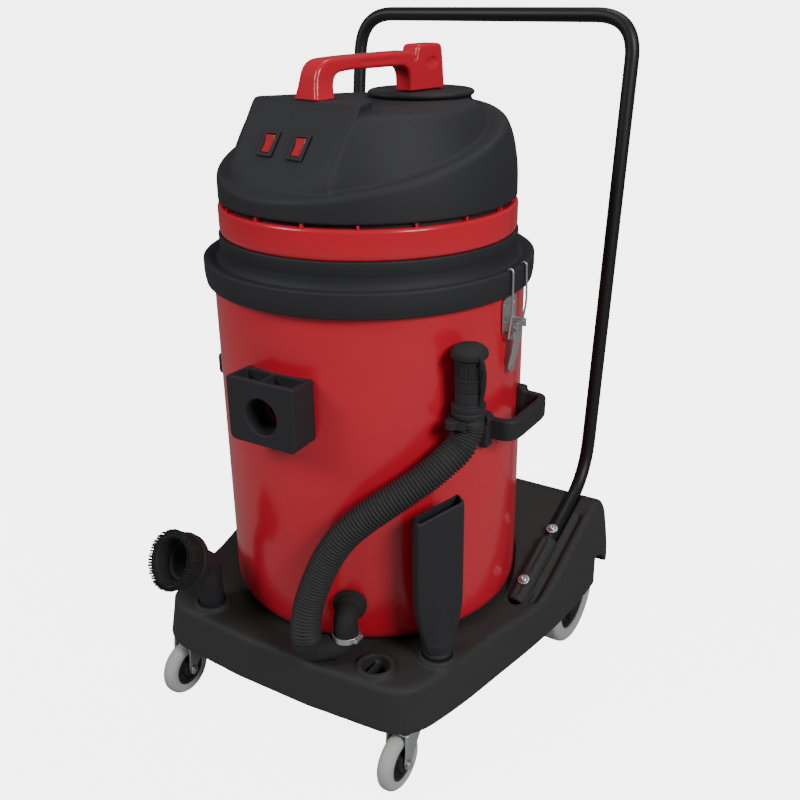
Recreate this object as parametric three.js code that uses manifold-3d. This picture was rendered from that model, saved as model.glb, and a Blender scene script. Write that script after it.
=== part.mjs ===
// Twin-motor wet and dry shop vacuum on a tool-holding trolley.
// Millimetres, +Z up. The front, with the hose inlet and the casters, faces -Y.
// Pieces are placed from the tank's axis; the whole machine is then centred over its own footprint.
import * as THREE from 'three';
import { mergeVertices } from 'three/addons/utils/BufferGeometryUtils.js';
import Module from 'manifold-3d';

const wasm = await Module();
wasm.setup();

// ---------------------------------------------------------------- driving dimensions
const GAP = 0.3;               // between two pieces that touch
const RUN = 0.4;               // radial clearance of a pin in its bore

const TANK_R = 220;            // outside radius of the tank
const TANK_WALL = 4;
const TANK_HEIGHT = 501;       // from the deck to the rim
const TANK_FILLET = 18;        // outside radius where the wall meets the floor

const DECK_Z = 162;            // top of the trolley's flat deck
const SKIRT_Z = 93;            // lowest edge of the trolley's skirt
const BASE_WALL = 6;
const BASE_FRONT = 282;        // from the tank's axis to the front of the skirt
const BASE_REAR = 292;         // from the tank's axis to the back of the trolley
const BASE_HALF = 288;         // half the width over the rear wheel covers
const SKIRT_DRAFT = 0.17;      // how far the skirt leans in for each mm of height
const RAMP_START = 30;         // where the ramp beside the tank leaves the deck
const RAMP_TOP_Y = 225;
const RAMP_TOP_Z = 240;

const WHEEL_R = 80;            // rear wheels
const WHEEL_Y = 184;
const WHEEL_FACE_X = 275;      // outer face of a rear wheel
const WHEEL_WIDTH = 40;
const AXLE_R = 6;

const CASTER_R = 42;           // front casters
const CASTER_WIDTH = 24;
const CASTER_X = 196;
const CASTER_Y = -224;         // swivel axis
const CASTER_TRAIL = 30;
const PAD_Z = 2 * CASTER_R + 25;  // underside of the pads that the casters are bolted to
const CASTER_PIN_R = 4;

const TUBE_R = 11;             // push handle
const TUBE_WALL = 1.5;
const HANDLE_X = 242;
const HANDLE_LOW = [13, 155];  // y, z of the tube's lower end, then its bend and its top bar
const HANDLE_BEND = [274.5, 259.8];
const HANDLE_TOP = [356, 978];
const HANDLE_CORNER = 70;
const BOLT_STATIONS = [46, 148];

const RING_R = 232.5;          // bumper ring of the motor deck
const RING_HEIGHT = 35;
const RIM_DROP = 17;           // how far the bumper ring hangs below the tank's rim
const SEAL_HEIGHT = 4;
const COLLAR_R = 209;          // collar under the exhaust band
const COLLAR_HEIGHT = 32;
const BAND_R = 207.5;          // exhaust band
const BAND_HEIGHT = 39;
const VENT_GAP = 5;            // open slot between the band and the cover
const COVER_R = 206;
const COVER_HEIGHT = 132;
const COVER_WALL = 4.5;
const HEAD_TURN = -10;         // degrees the head sits turned on the tank
const CREASE_TILT = 0.25;      // slope of the step that runs round the cover
const PANEL_HALF = 97;          // half the width of the switch panel block
const PANEL_STEP = 12.3;        // how far that block stands above the cover's flat top
const MOTOR_R = 62;
const MOTOR_HEIGHT = 122;
const MOTOR_GAP = 12;           // from a motor to the middle of the deck
const MOTOR_X = MOTOR_R + MOTOR_GAP;

const SOCKET_R = 19.5;         // bore of a tool socket
const TOOL_R = 18.5;           // neck of a tool
const SOCKET_DEPTH = 38;

const HOSE_R = 21;             // drain hose
const HOSE_OUT = 247;          // distance of the clipped hose from the tank's axis
const LATCH_DROP = 59.3;       // from the tank's rim down to the lever pivot of a latch
const GRIP_Z = 474;            // middle of a tank handle

// facets round a circle: the big shells, ordinary round pieces, and pins and small fittings
const LARGE = 32;
const MIDDLE = 20;
const SMALL = 10;

// ---------------------------------------------------------------- solids
function solid(geometry) {
  const plain = geometry.index ? geometry.toNonIndexed() : geometry.clone();
  for (const name of Object.keys(plain.attributes)) {
    if (name !== 'position') plain.deleteAttribute(name);
  }
  const merged = mergeVertices(plain, 1e-3);
  const corners = merged.index.array;
  const places = merged.attributes.position.array;
  const faces = [];
  let volume = 0;
  const [a, b, c] = [new THREE.Vector3(), new THREE.Vector3(), new THREE.Vector3()];
  for (let i = 0; i < corners.length; i += 3) {
    const [p, q, r] = [corners[i], corners[i + 1], corners[i + 2]];
    if (p === q || q === r || r === p) continue;
    faces.push(p, q, r);
    volume += a.fromArray(places, 3 * p).dot(b.fromArray(places, 3 * q).cross(c.fromArray(places, 3 * r)));
  }
  if (volume < 0) faces.reverse();
  return new wasm.Manifold(new wasm.Mesh({
    numProp: 3, vertProperties: new Float32Array(places), triVerts: new Uint32Array(faces),
  }));
}

function geometryOf(body) {
  const mesh = body.getMesh();
  const geometry = new THREE.BufferGeometry();
  geometry.setAttribute('position', new THREE.BufferAttribute(new Float32Array(mesh.vertProperties), 3));
  geometry.setIndex(new THREE.BufferAttribute(new Uint32Array(mesh.triVerts), 1));
  return geometry;
}

const join = (...bodies) => bodies.reduce((sum, body) => sum.add(body));
const cut = (body, ...tools) => tools.reduce((rest, tool) => rest.subtract(tool), body);

function block(x0, x1, y0, y1, z0, z1) {
  const geometry = new THREE.BoxGeometry(x1 - x0, y1 - y0, z1 - z0);
  return solid(geometry.translate((x0 + x1) / 2, (y0 + y1) / 2, (z0 + z1) / 2));
}

// A round bar or cone between two points.
function rod(from, to, radius, sides = MIDDLE, endRadius = radius) {
  const start = new THREE.Vector3(...from);
  const along = new THREE.Vector3(...to).sub(start);
  const geometry = new THREE.CylinderGeometry(endRadius, radius, along.length(), sides);
  geometry.translate(0, along.length() / 2, 0);
  const turn = new THREE.Quaternion();
  turn.setFromUnitVectors(new THREE.Vector3(0, 1, 0), along.clone().normalize());
  return solid(geometry.applyQuaternion(turn).translate(...from));
}

// A turned piece about the Z axis, from its outline as [radius, height] pairs.
function turned(outline, sides = LARGE) {
  const points = outline.map(([r, z]) => new THREE.Vector2(r, z));
  return solid(new THREE.LatheGeometry(points, sides).rotateX(Math.PI / 2));
}

// A closed ring about the Z axis.
function ring(inner, outer, z0, z1, sides = LARGE) {
  return turned([[inner, z0], [outer, z0], [outer, z1], [inner, z1], [inner, z0]], sides);
}

function outlineOf(points) {
  return new THREE.Shape(points.map(([u, v]) => new THREE.Vector2(u, v)));
}

// Prisms: an outline in XY raised along Z, in YZ drawn along X, or in XZ drawn along Y.
function alongZ(shape, z0, z1) {
  const options = { depth: z1 - z0, bevelEnabled: false, curveSegments: 6 };
  const geometry = new THREE.ExtrudeGeometry(shape, options);
  return solid(geometry.translate(0, 0, z0));
}

function alongX(points, x0, x1, bevel = 0) {
  const geometry = new THREE.ExtrudeGeometry(outlineOf(points), {
    depth: x1 - x0 - 2 * bevel, bevelEnabled: bevel > 0, bevelThickness: bevel, bevelSize: bevel,
    bevelOffset: -bevel, bevelSegments: 3,
  });
  const axes = new THREE.Matrix4().makeBasis(
    new THREE.Vector3(0, 1, 0), new THREE.Vector3(0, 0, 1), new THREE.Vector3(1, 0, 0));
  return solid(geometry.applyMatrix4(axes).translate(x0 + bevel, 0, 0));
}

function alongY(points, y0, y1) {
  const geometry = new THREE.ExtrudeGeometry(outlineOf(points), { depth: y1 - y0, bevelEnabled: false });
  return solid(geometry.rotateX(Math.PI / 2).translate(0, y1, 0));
}

// A round bar swept along a curve.
function sweep(curve, radius, sides, steps) {
  const circle = new THREE.Shape();
  for (let i = 0; i < sides; i += 1) {
    const angle = 2 * Math.PI * i / sides;
    const [u, v] = [radius * Math.cos(angle), radius * Math.sin(angle)];
    if (i === 0) circle.moveTo(u, v);
    else circle.lineTo(u, v);
  }
  circle.closePath();
  return solid(new THREE.ExtrudeGeometry(circle, { steps, extrudePath: curve, bevelEnabled: false }));
}

// Straight runs through the given points, with rounded corners that start this far from each corner.
function bentPath(points, corner) {
  const path = new THREE.CurvePath();
  const stops = points.map((point) => new THREE.Vector3(...point));
  let from = stops[0];
  for (let i = 1; i < stops.length - 1; i += 1) {
    const [back, ahead] = [stops[i].distanceTo(stops[i - 1]), stops[i].distanceTo(stops[i + 1])];
    const reach = Math.min(corner, back / 2, ahead / 2);
    const before = stops[i].clone().add(stops[i - 1].clone().sub(stops[i]).setLength(reach));
    const after = stops[i].clone().add(stops[i + 1].clone().sub(stops[i]).setLength(reach));
    path.add(new THREE.LineCurve3(from, before));
    path.add(new THREE.QuadraticBezierCurve3(before, stops[i], after));
    from = after;
  }
  path.add(new THREE.LineCurve3(from, stops.at(-1)));
  return path;
}

// ---------------------------------------------------------------- materials and placing
const finish = (color, roughness, metalness = 0) => ({ color, roughness, metalness });
const RED_SHELL = finish(0xd01424, 0.28);
const BLACK_SHELL = finish(0x1b1b1d, 0.42);
const BLACK_BASE = finish(0x232325, 0.55);
const BLACK_TUBE = finish(0x161617, 0.35, 0.2);
const RUBBER = finish(0x141414, 0.8);
const GREY_TYRE = finish(0xc6c6c2, 0.6);
const ZINC = finish(0xb9bcc0, 0.3, 1);
const LIT_RED = finish(0xb5141c, 0.2);
const CAST = finish(0x8b8d90, 0.45, 0.9);
const FELT = finish(0xd8d4c8, 0.95);

const machine = new THREE.Group();
const head = new THREE.Group();
head.rotation.z = THREE.MathUtils.degToRad(HEAD_TURN);
machine.add(head);

function place(name, body, look, parent = machine) {
  const mesh = new THREE.Mesh(geometryOf(body), new THREE.MeshStandardMaterial(look));
  mesh.name = name;
  parent.add(mesh);
  return mesh;
}

// ---------------------------------------------------------------- trolley
const rimZ = DECK_Z + GAP + TANK_HEIGHT;
const tankBore = (radius, z0, z1) => rod([0, 0, z0], [0, 0, z1], radius, LARGE);
const rampZ = (y) => DECK_Z + (y - RAMP_START) * (RAMP_TOP_Z - DECK_Z) / (RAMP_TOP_Y - RAMP_START);

// Plan of the skirt: rounded front corners, sides that widen towards the rear wheels.
function basePlan(inset) {
  const half = BASE_HALF - inset;
  const front = -BASE_FRONT + inset;
  const shape = new THREE.Shape();
  shape.moveTo(half, BASE_REAR + 10 - inset);
  shape.lineTo(-half, BASE_REAR + 10 - inset);
  shape.lineTo(-half, RAMP_START + 10);
  shape.lineTo(-half + 38, front + 108);
  shape.quadraticCurveTo(-half + 52, front + 14, -half + 92, front + 8);
  shape.quadraticCurveTo(0, front - 8, half - 92, front + 8);
  shape.quadraticCurveTo(half - 52, front + 14, half - 38, front + 108);
  shape.lineTo(half, RAMP_START + 10);
  return shape;
}

// Side view of the trolley: flat deck, ramp, crest behind the tank and a back that rounds the wheels.
function baseSide(inset, floor) {
  const back = BASE_REAR - inset;
  return [
    [-BASE_FRONT - 40, floor], [RAMP_START, floor], [WHEEL_Y - 10, floor - 15], [back, floor - 15],
    [back, SKIRT_Z + 24], [back - 14, SKIRT_Z + 74], [back - 30, RAMP_TOP_Z - 22 - inset],
    [back - 48, RAMP_TOP_Z - 2 - inset], [RAMP_TOP_Y, RAMP_TOP_Z - inset], [RAMP_START, DECK_Z - inset],
    [-BASE_FRONT - 40, DECK_Z - inset],
  ];
}

function leanIn(body, draft) {
  return body.warp((p) => {
    const lean = Math.max(0, p[2] - SKIRT_Z) * draft;
    if (p[1] < RAMP_START) {
      p[0] -= Math.sign(p[0]) * lean * Math.min(1, (RAMP_START - p[1]) / 120);
      p[1] += p[1] < -150 ? lean : 0;
    }
  });
}

const SOCKETS = [[148, -230], [-148, -230], [208, -166]];
const BOSS_R = SOCKET_R + 7.5;

function trolleyBase() {
  const plan = alongZ(basePlan(0), SKIRT_Z - 30, DECK_Z + 100);
  const skin = alongX(baseSide(0, SKIRT_Z), -BASE_HALF, BASE_HALF, 10).intersect(leanIn(plan, SKIRT_DRAFT));
  const innerPlan = leanIn(alongZ(basePlan(BASE_WALL), SKIRT_Z - 40, DECK_Z + 100), SKIRT_DRAFT);
  const inner = alongX(baseSide(BASE_WALL, SKIRT_Z - 20), -BASE_HALF + BASE_WALL, BASE_HALF - BASE_WALL)
    .intersect(innerPlan);
  const wellFloor = DECK_Z - BASE_WALL;
  const hollow = cut(inner, tankBore(TANK_R + 8, wellFloor, DECK_Z + 120));
  let base = cut(skin, hollow, tankBore(TANK_R + 1.5, DECK_Z, DECK_Z + 120));
  for (const [x, y] of SOCKETS) {
    base = join(base, rod([x, y, DECK_Z - SOCKET_DEPTH - 4], [x, y, DECK_Z + 7], BOSS_R));
    base = cut(base, rod([x, y, DECK_Z - SOCKET_DEPTH], [x, y, DECK_Z + 20], SOCKET_R));
  }
  const webX = WHEEL_FACE_X - WHEEL_WIDTH - 22;
  for (const side of [-1, 1]) {
    const pad = rod([side * CASTER_X, CASTER_Y, PAD_Z], [side * CASTER_X, CASTER_Y, DECK_Z - 2], 26);
    const web = alongX([[WHEEL_Y - 26, WHEEL_R - 16], [WHEEL_Y + 26, WHEEL_R - 16],
      [WHEEL_Y + 34, rampZ(WHEEL_Y) - 2], [WHEEL_Y - 34, rampZ(WHEEL_Y - 34) - 3]],
    side > 0 ? webX : -webX - 10, side > 0 ? webX + 10 : -webX);
    base = join(base, pad, web);
    // the skirt is cut away behind each rear wheel
    const notch = [[WHEEL_Y + 52, 40], [WHEEL_Y + 46, 136], [WHEEL_Y + 78, 122], [WHEEL_Y + 100, 100],
      [WHEEL_Y + 114, 84], [WHEEL_Y + 130, 40]];
    const [near, far] = [BASE_HALF - 38, BASE_HALF + 5];
    base = cut(base, alongX(notch, side > 0 ? near : -far, side > 0 ? far : -near));
  }
  base = cut(base, rod([-BASE_HALF, WHEEL_Y, WHEEL_R], [BASE_HALF, WHEEL_Y, WHEEL_R], AXLE_R + GAP, SMALL));
  for (const side of [-1, 1]) {
    base = cut(base, sweep(handleHalf(side), TUBE_R + GAP, TUBE_SIDES, 12));
    for (const y of BOLT_STATIONS) base = cut(base, boltShank(side, y, 3 + RUN));
  }
  return base;
}

// ---------------------------------------------------------------- push handle
const TUBE_SIDES = 10;
const HANDLE_STEPS = 50;
const tubeZ = (y) => HANDLE_LOW[1] + (y - HANDLE_LOW[0])
  * (HANDLE_BEND[1] - HANDLE_LOW[1]) / (HANDLE_BEND[0] - HANDLE_LOW[0]);
const tubeSlope = Math.atan2(HANDLE_BEND[1] - HANDLE_LOW[1], HANDLE_BEND[0] - HANDLE_LOW[0]);
const tubeUp = [0, -Math.sin(tubeSlope), Math.cos(tubeSlope)];

function offTube(side, y, height) {
  return [side * HANDLE_X, y + tubeUp[1] * height, tubeZ(y) + tubeUp[2] * height];
}

function handleHalf(side) {
  const x = side * HANDLE_X;
  const upright = [x, HANDLE_BEND[0] + 12, HANDLE_BEND[1] + 106];
  return bentPath([[x, ...HANDLE_LOW], [x, ...HANDLE_BEND], upright], 60);
}

function boltShank(side, y, radius) {
  return rod(offTube(side, y, -TUBE_R - 10), offTube(side, y, TUBE_R + 8), radius, SMALL);
}

function pushHandle() {
  const points = [[HANDLE_X, ...HANDLE_LOW], [HANDLE_X, ...HANDLE_BEND], [HANDLE_X, ...HANDLE_TOP],
    [-HANDLE_X, ...HANDLE_TOP], [-HANDLE_X, ...HANDLE_BEND], [-HANDLE_X, ...HANDLE_LOW]];
  const course = bentPath(points, HANDLE_CORNER);
  // the bore runs a little past both ends, so the tube is open there
  const [low, past] = [points[0], 8];
  const run = [low[1] - past * Math.cos(tubeSlope), low[2] - past * Math.sin(tubeSlope)];
  const bored = bentPath([[HANDLE_X, ...run], ...points.slice(1, -1), [-HANDLE_X, ...run]], HANDLE_CORNER);
  let tube = cut(sweep(course, TUBE_R, TUBE_SIDES, HANDLE_STEPS),
    sweep(bored, TUBE_R - TUBE_WALL, TUBE_SIDES, HANDLE_STEPS));
  for (const side of [-1, 1]) {
    for (const y of BOLT_STATIONS) tube = cut(tube, boltShank(side, y, 3 + RUN));
  }
  return tube;
}

// A moulded half round cover that holds the tube down in its groove.
const SADDLE_TOP = TUBE_R + 4;

function handleSaddle(side) {
  const from = BOLT_STATIONS[0] - 34;
  const to = BOLT_STATIONS[1] - 16;
  const shell = rod(offTube(side, from, 0), offTube(side, to, 0), SADDLE_TOP);
  const ground = alongX([[from - 60, 100], [to + 60, 100], [to + 60, rampZ(to + 60) + GAP],
    [RAMP_START, DECK_Z + GAP], [from - 60, DECK_Z + GAP]], side * HANDLE_X - 40, side * HANDLE_X + 40);
  const bore = rod(offTube(side, from - 40, 0), offTube(side, to + 30, 0), TUBE_R + GAP, 2 * TUBE_SIDES);
  return cut(shell, ground, bore, boltShank(side, BOLT_STATIONS[0], 3 + RUN));
}

function handleBolt(side, station) {
  const seat = (station === 0 ? SADDLE_TOP : TUBE_R) + GAP;
  const y = BOLT_STATIONS[station];
  const washer = rod(offTube(side, y, seat), offTube(side, y, seat + 1.6), 8.5, 16);
  const dome = rod(offTube(side, y, seat + 1.5), offTube(side, y, seat + 5), 6, SMALL, 3.6);
  return join(washer, dome, rod(offTube(side, y, -TUBE_R - 4), offTube(side, y, seat + 0.5), 3, 8));
}

place('trolley_base', trolleyBase(), BLACK_BASE);
place('push_handle', pushHandle(), BLACK_TUBE);
for (const [name, side] of [['right', 1], ['left', -1]]) {
  place(`handle_saddle_${name}`, handleSaddle(side), BLACK_BASE);
  for (const station of [0, 1]) {
    place(`handle_bolt_${name}_${station + 1}`, handleBolt(side, station), ZINC);
  }
}

// ---------------------------------------------------------------- wheels
// A wheel about the X axis, centred on its width; the tyre grips the hub's rim.
function rollAxis(body, x, y, z) {
  return body.rotate([0, 90, 0]).translate([x, y, z]);
}

function tyre(radius, width, rim, shoulder) {
  const h = width / 2;
  return turned([[rim, -h + 2], [radius - shoulder, -h], [radius - 1, -h + shoulder], [radius, 0],
    [radius - 1, h - shoulder], [radius - shoulder, h], [rim, h - 2], [rim, -h + 2]], MIDDLE);
}

function hub(rim, width, bore, web) {
  const h = width / 2;
  return turned([[bore, -h], [bore + 8, -h], [bore + 12, -web], [rim, -h + 3], [rim, h - 3],
    [bore + 12, web], [bore + 8, h], [bore, h], [bore, -h]], MIDDLE);
}

const wheelX = WHEEL_FACE_X - WHEEL_WIDTH / 2;
const HUB_R = 56;
const axleEnd = WHEEL_FACE_X - 4;
place('rear_axle', rod([-axleEnd, WHEEL_Y, WHEEL_R], [axleEnd, WHEEL_Y, WHEEL_R], AXLE_R, SMALL), ZINC);
for (const [name, side] of [['right', 1], ['left', -1]]) {
  const at = [side * wheelX, WHEEL_Y, WHEEL_R];
  place(`rear_tyre_${name}`, rollAxis(tyre(WHEEL_R, WHEEL_WIDTH, HUB_R + GAP, 7), ...at), GREY_TYRE);
  place(`rear_hub_${name}`, rollAxis(hub(HUB_R, WHEEL_WIDTH - 4, AXLE_R + RUN, 8), ...at), BLACK_SHELL);
}

// Swivel casters. The wheel trails in front of its swivel axis, as after the machine is pulled back.
const PLATE_Z = PAD_Z - GAP;
const CASTER_HUB_R = 26;

function casterFork() {
  const gap = CASTER_WIDTH / 2 + 2;
  const crown = rod([0, 0, CASTER_R * 2 + 6], [0, 0, CASTER_R * 2 + 16], 17, 16);
  const post = rod([0, 0, CASTER_R * 2 + 14], [0, 0, PLATE_Z - 1], 5, SMALL);
  const bridge = block(-gap - 3, gap + 3, -CASTER_TRAIL, 12, CASTER_R * 2 + 4, CASTER_R * 2 + 8);
  const leg = [[-CASTER_TRAIL - 9, CASTER_R - 4], [-CASTER_TRAIL + 6, CASTER_R - 9],
    [-CASTER_TRAIL + 12, CASTER_R], [12, CASTER_R * 2 + 5], [-CASTER_TRAIL, CASTER_R * 2 + 5]];
  const fork = join(crown, post, bridge, alongX(leg, -gap - 3, -gap), alongX(leg, gap, gap + 3));
  const eye = rod([-30, -CASTER_TRAIL, CASTER_R], [30, -CASTER_TRAIL, CASTER_R], CASTER_PIN_R + RUN, SMALL);
  return cut(fork, eye);
}

for (const [name, side] of [['right', 1], ['left', -1]]) {
  const at = [side * CASTER_X, CASTER_Y, 0];
  const plate = cut(rod([0, 0, PLATE_Z - 5], [0, 0, PLATE_Z], 19, 20),
    rod([0, 0, PLATE_Z - 10], [0, 0, PLATE_Z + 5], 5 + RUN, SMALL));
  place(`caster_plate_${name}`, plate.translate(at), ZINC);
  place(`caster_fork_${name}`, casterFork().translate(at), ZINC);
  const wheelAt = [side * CASTER_X, CASTER_Y - CASTER_TRAIL, CASTER_R];
  const casterTyre = tyre(CASTER_R, CASTER_WIDTH, CASTER_HUB_R + GAP, 5);
  const casterHub = hub(CASTER_HUB_R, CASTER_WIDTH, CASTER_PIN_R + RUN, 4);
  place(`caster_tyre_${name}`, rollAxis(casterTyre, ...wheelAt), GREY_TYRE);
  place(`caster_hub_${name}`, rollAxis(casterHub, ...wheelAt), BLACK_SHELL);
  const half = CASTER_WIDTH / 2 + 5 + GAP;
  const bolt = join(rod([-half - 4, 0, 0], [half + 3, 0, 0], CASTER_PIN_R, SMALL),
    rod([-half - 4, 0, 0], [-half, 0, 0], 7, 6), rod([half, 0, 0], [half + 4, 0, 0], 7, 6));
  place(`caster_bolt_${name}`, bolt.translate(wheelAt), ZINC);
}

// ---------------------------------------------------------------- tank
const INLET_Z = 515;
const INLET_BORE = 25;
const DRAIN_ANGLE = 23.6;      // degrees from the front towards +X
const DRAIN_Z = 229;
const DRAIN_BORE = 13;
const drainSin = Math.sin(THREE.MathUtils.degToRad(DRAIN_ANGLE));
const drainCos = Math.cos(THREE.MathUtils.degToRad(DRAIN_ANGLE));
const drainAt = (radius, z) => [radius * drainSin, -radius * drainCos, z];

function tankShell() {
  const z0 = DECK_Z + GAP;
  const inside = TANK_R - TANK_WALL;
  const corner = (radius, zc, rc, steps) => Array.from({ length: steps + 1 }, (_, i) => {
    const angle = -Math.PI / 2 + i / steps * Math.PI / 2;
    return [rc + radius * Math.cos(angle), zc + radius * Math.sin(angle)];
  });
  const outer = corner(TANK_FILLET, z0 + TANK_FILLET, TANK_R - TANK_FILLET, 3);
  const inner = corner(TANK_FILLET - TANK_WALL, z0 + TANK_FILLET, TANK_R - TANK_FILLET, 3).reverse();
  const floor = z0 + TANK_WALL;
  const shell = turned([[0, z0], ...outer, [TANK_R, rimZ], [inside, rimZ], ...inner, [0, floor]]);
  return cut(shell, rod([0, -TANK_R - 9, INLET_Z], [0, -TANK_R + 40, INLET_Z], INLET_BORE - 3),
    rod(drainAt(TANK_R + 9, DRAIN_Z), drainAt(TANK_R - 40, DRAIN_Z), DRAIN_BORE + RUN, 16));
}

function inletBlock() {
  const [half, front] = [54, -TANK_R - 40];
  const body = block(-half, half, front, -150, INLET_Z - 41, INLET_Z + 49);
  const pocket = cut(block(-half + 7, half - 7, front + 7, -TANK_R - 5, INLET_Z + 31, INLET_Z + 60),
    block(-8, -3, front, -150, INLET_Z + 20, INLET_Z + 60));
  return cut(body, pocket, tankBore(TANK_R + GAP, INLET_Z - 80, INLET_Z + 80),
    rod([0, front - 5, INLET_Z], [0, -150, INLET_Z], INLET_BORE));
}

// A hood inside the tank that turns the incoming stream down.
function inletHood() {
  const [half, back] = [36, -TANK_R + 62];
  const inside = TANK_R - TANK_WALL - GAP;
  const outer = block(-half, half, -TANK_R, back, INLET_Z - 44, INLET_Z + 34)
    .intersect(tankBore(inside, INLET_Z - 80, INLET_Z + 80));
  return cut(outer, block(-half + 3, half - 3, -TANK_R - 9, back - 3, INLET_Z - 60, INLET_Z + 31));
}

function tankGrip() {
  const [root, reach, arm] = [TANK_R - 15, TANK_R + 44, 58];
  const loop = new THREE.Shape();
  loop.moveTo(root, -arm);
  loop.lineTo(reach - 16, -arm + 4);
  loop.quadraticCurveTo(reach, -arm + 5, reach, -arm + 20);
  loop.lineTo(reach, arm - 20);
  loop.quadraticCurveTo(reach, arm - 5, reach - 16, arm - 4);
  loop.lineTo(root, arm);
  loop.lineTo(root, arm - 12);
  loop.lineTo(reach - 18, arm - 15);
  loop.lineTo(reach - 12, arm - 21);
  loop.lineTo(reach - 12, -arm + 21);
  loop.lineTo(reach - 18, -arm + 15);
  loop.lineTo(root, -arm + 12);
  const pads = [-arm, arm].map((y) => block(root, TANK_R + 4, y - 7, y + 7, GRIP_Z - 30, GRIP_Z + 20));
  return cut(join(alongZ(loop, GRIP_Z - 16, GRIP_Z + 14), ...pads),
    tankBore(TANK_R + GAP, GRIP_Z - 60, GRIP_Z + 60));
}

place('tank', tankShell(), RED_SHELL);
place('inlet_block', inletBlock(), BLACK_SHELL);
place('inlet_hood', inletHood(), BLACK_SHELL);

// ---------------------------------------------------------------- latches and tank handles
// Built on the +X side; the other side is the same set turned half round the tank.
const latchZ = rimZ - LATCH_DROP;
const LEVER_AXIS = [236, latchZ];          // x, z
const BAIL_AXIS = [229, latchZ - 16];
const BAIL_HALF = 20;
const WIRE_R = 1.6;
const LEVER_HALF = 12;
const ringTop = rimZ - RIM_DROP + RING_HEIGHT;

const acrossY = (x, z, half, radius, sides = SMALL) => rod([x, -half, z], [x, half, z], radius, sides);

function latchBracket() {
  const plate = block(TANK_R + 0.4, TANK_R + 3, -20, 20, latchZ - 10, latchZ + 38);
  const ear = (y) => block(TANK_R + 2, LEVER_AXIS[0], y, y + 3, latchZ - 5, latchZ + 5);
  const eye = (y) => rod([LEVER_AXIS[0], y, latchZ], [LEVER_AXIS[0], y + 3, latchZ], 5, SMALL);
  const spacer = LEVER_HALF + 0.5;
  const ears = [spacer, -spacer - 3].map((y) => join(ear(y), eye(y)));
  return join(plate, ...ears, acrossY(...LEVER_AXIS, spacer + 1, 2.5));
}

function latchLever() {
  const arm = alongY([[225, latchZ - 67], [228, latchZ - 67], [233.5, latchZ - 18], [232.5, latchZ - 4],
    [226, latchZ - 12], [225, latchZ - 22]], -LEVER_HALF, LEVER_HALF);
  const body = join(arm, acrossY(...LEVER_AXIS, LEVER_HALF, 5.5), acrossY(...BAIL_AXIS, LEVER_HALF, 4),
    block(BAIL_AXIS[0], LEVER_AXIS[0] - 2, -LEVER_HALF, LEVER_HALF, latchZ - 14, latchZ - 3));
  return cut(body, acrossY(...LEVER_AXIS, 30, 2.5 + RUN), acrossY(...BAIL_AXIS, 30, WIRE_R + RUN));
}

function latchBail() {
  const hookX = RING_R + WIRE_R + 0.7;
  const topZ = ringTop + 1;
  const corners = [[BAIL_AXIS[0], -6, BAIL_AXIS[1]], [BAIL_AXIS[0], -BAIL_HALF, BAIL_AXIS[1]],
    [hookX, -BAIL_HALF, topZ], [hookX, BAIL_HALF, topZ],
    [BAIL_AXIS[0], BAIL_HALF, BAIL_AXIS[1]], [BAIL_AXIS[0], 6, BAIL_AXIS[1]]];
  return sweep(bentPath(corners, 5), WIRE_R, 6, 30);
}

for (const [name, turn] of [['right', 0], ['left', Math.PI]]) {
  const side = new THREE.Group();
  side.rotation.z = turn;
  machine.add(side);
  place(`tank_handle_${name}`, tankGrip(), BLACK_SHELL, side);
  place(`latch_bracket_${name}`, latchBracket(), ZINC, side);
  place(`latch_lever_${name}`, latchLever(), ZINC, side);
  place(`latch_bail_${name}`, latchBail(), ZINC, side);
}

// ---------------------------------------------------------------- drain
// The elbow leaves the tank low at the front, turns down, and turns up again into the hose.
const ELBOW_R = 17;
const SPOUT_OUT = TANK_R + 34;               // where the elbow turns down, from the tank's axis
const HOSE_FOOT = [60, -268, 206];           // where the hose leaves the elbow
const HOSE_TOP = [221, -111, 512];           // where it enters the cuff
const HOSE_ROUTE = [
  HOSE_FOOT, [60, -268, 222], [61, -264, 243], [65, -256, 269], [73, -247, 298], [85, -238, 328],
  [103, -228, 357], [125, -215, 381], [149, -199, 402], [171, -181, 420], [190, -162, 437],
  [206, -143, 455], [217, -123, 472], [221, -111, 494], HOSE_TOP,
];

function elbowPipe(radius) {
  const [x, y, z] = HOSE_FOOT;
  const [spoutX, spoutY] = drainAt(SPOUT_OUT, DRAIN_Z);
  const low = DECK_Z + ELBOW_R + 5;
  const path = bentPath([drainAt(TANK_R + 6, DRAIN_Z), [spoutX, spoutY, DRAIN_Z], [spoutX, spoutY, low],
    [x, y, low], [x, y, z - GAP]], 21);
  return sweep(path, radius, SMALL, 20);
}

function drainElbow() {
  const pipe = elbowPipe(ELBOW_R);
  const flange = rod(drainAt(TANK_R - 3, DRAIN_Z), drainAt(TANK_R + 8, DRAIN_Z), 24);
  const spigot = rod(drainAt(TANK_R - 12, DRAIN_Z), drainAt(TANK_R + 4, DRAIN_Z), DRAIN_BORE, 16);
  const seated = cut(join(flange, pipe), tankBore(TANK_R + GAP, DRAIN_Z - 60, DRAIN_Z + 60));
  return join(seated, spigot);
}

// A hose clamp round the leg of the elbow that goes down.
function drainClamp() {
  const [x, y] = drainAt(SPOUT_OUT, DRAIN_Z);
  const low = DECK_Z + 35;
  const [middle, screwX] = [low + 4.5, x + ELBOW_R + 3];
  const band = rod([x, y, low], [x, y, low + 9], ELBOW_R + 3);
  const screw = rod([screwX, y - 8, middle], [screwX, y + 8, middle], 3.5, SMALL);
  return cut(join(band, screw), elbowPipe(ELBOW_R + RUN));
}

const up = (point, rise) => [point[0], point[1], point[2] + rise];
const CUFF_LENGTH = 34;
const CAP_LENGTH = 62;
const CAP_R = 20;

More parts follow.
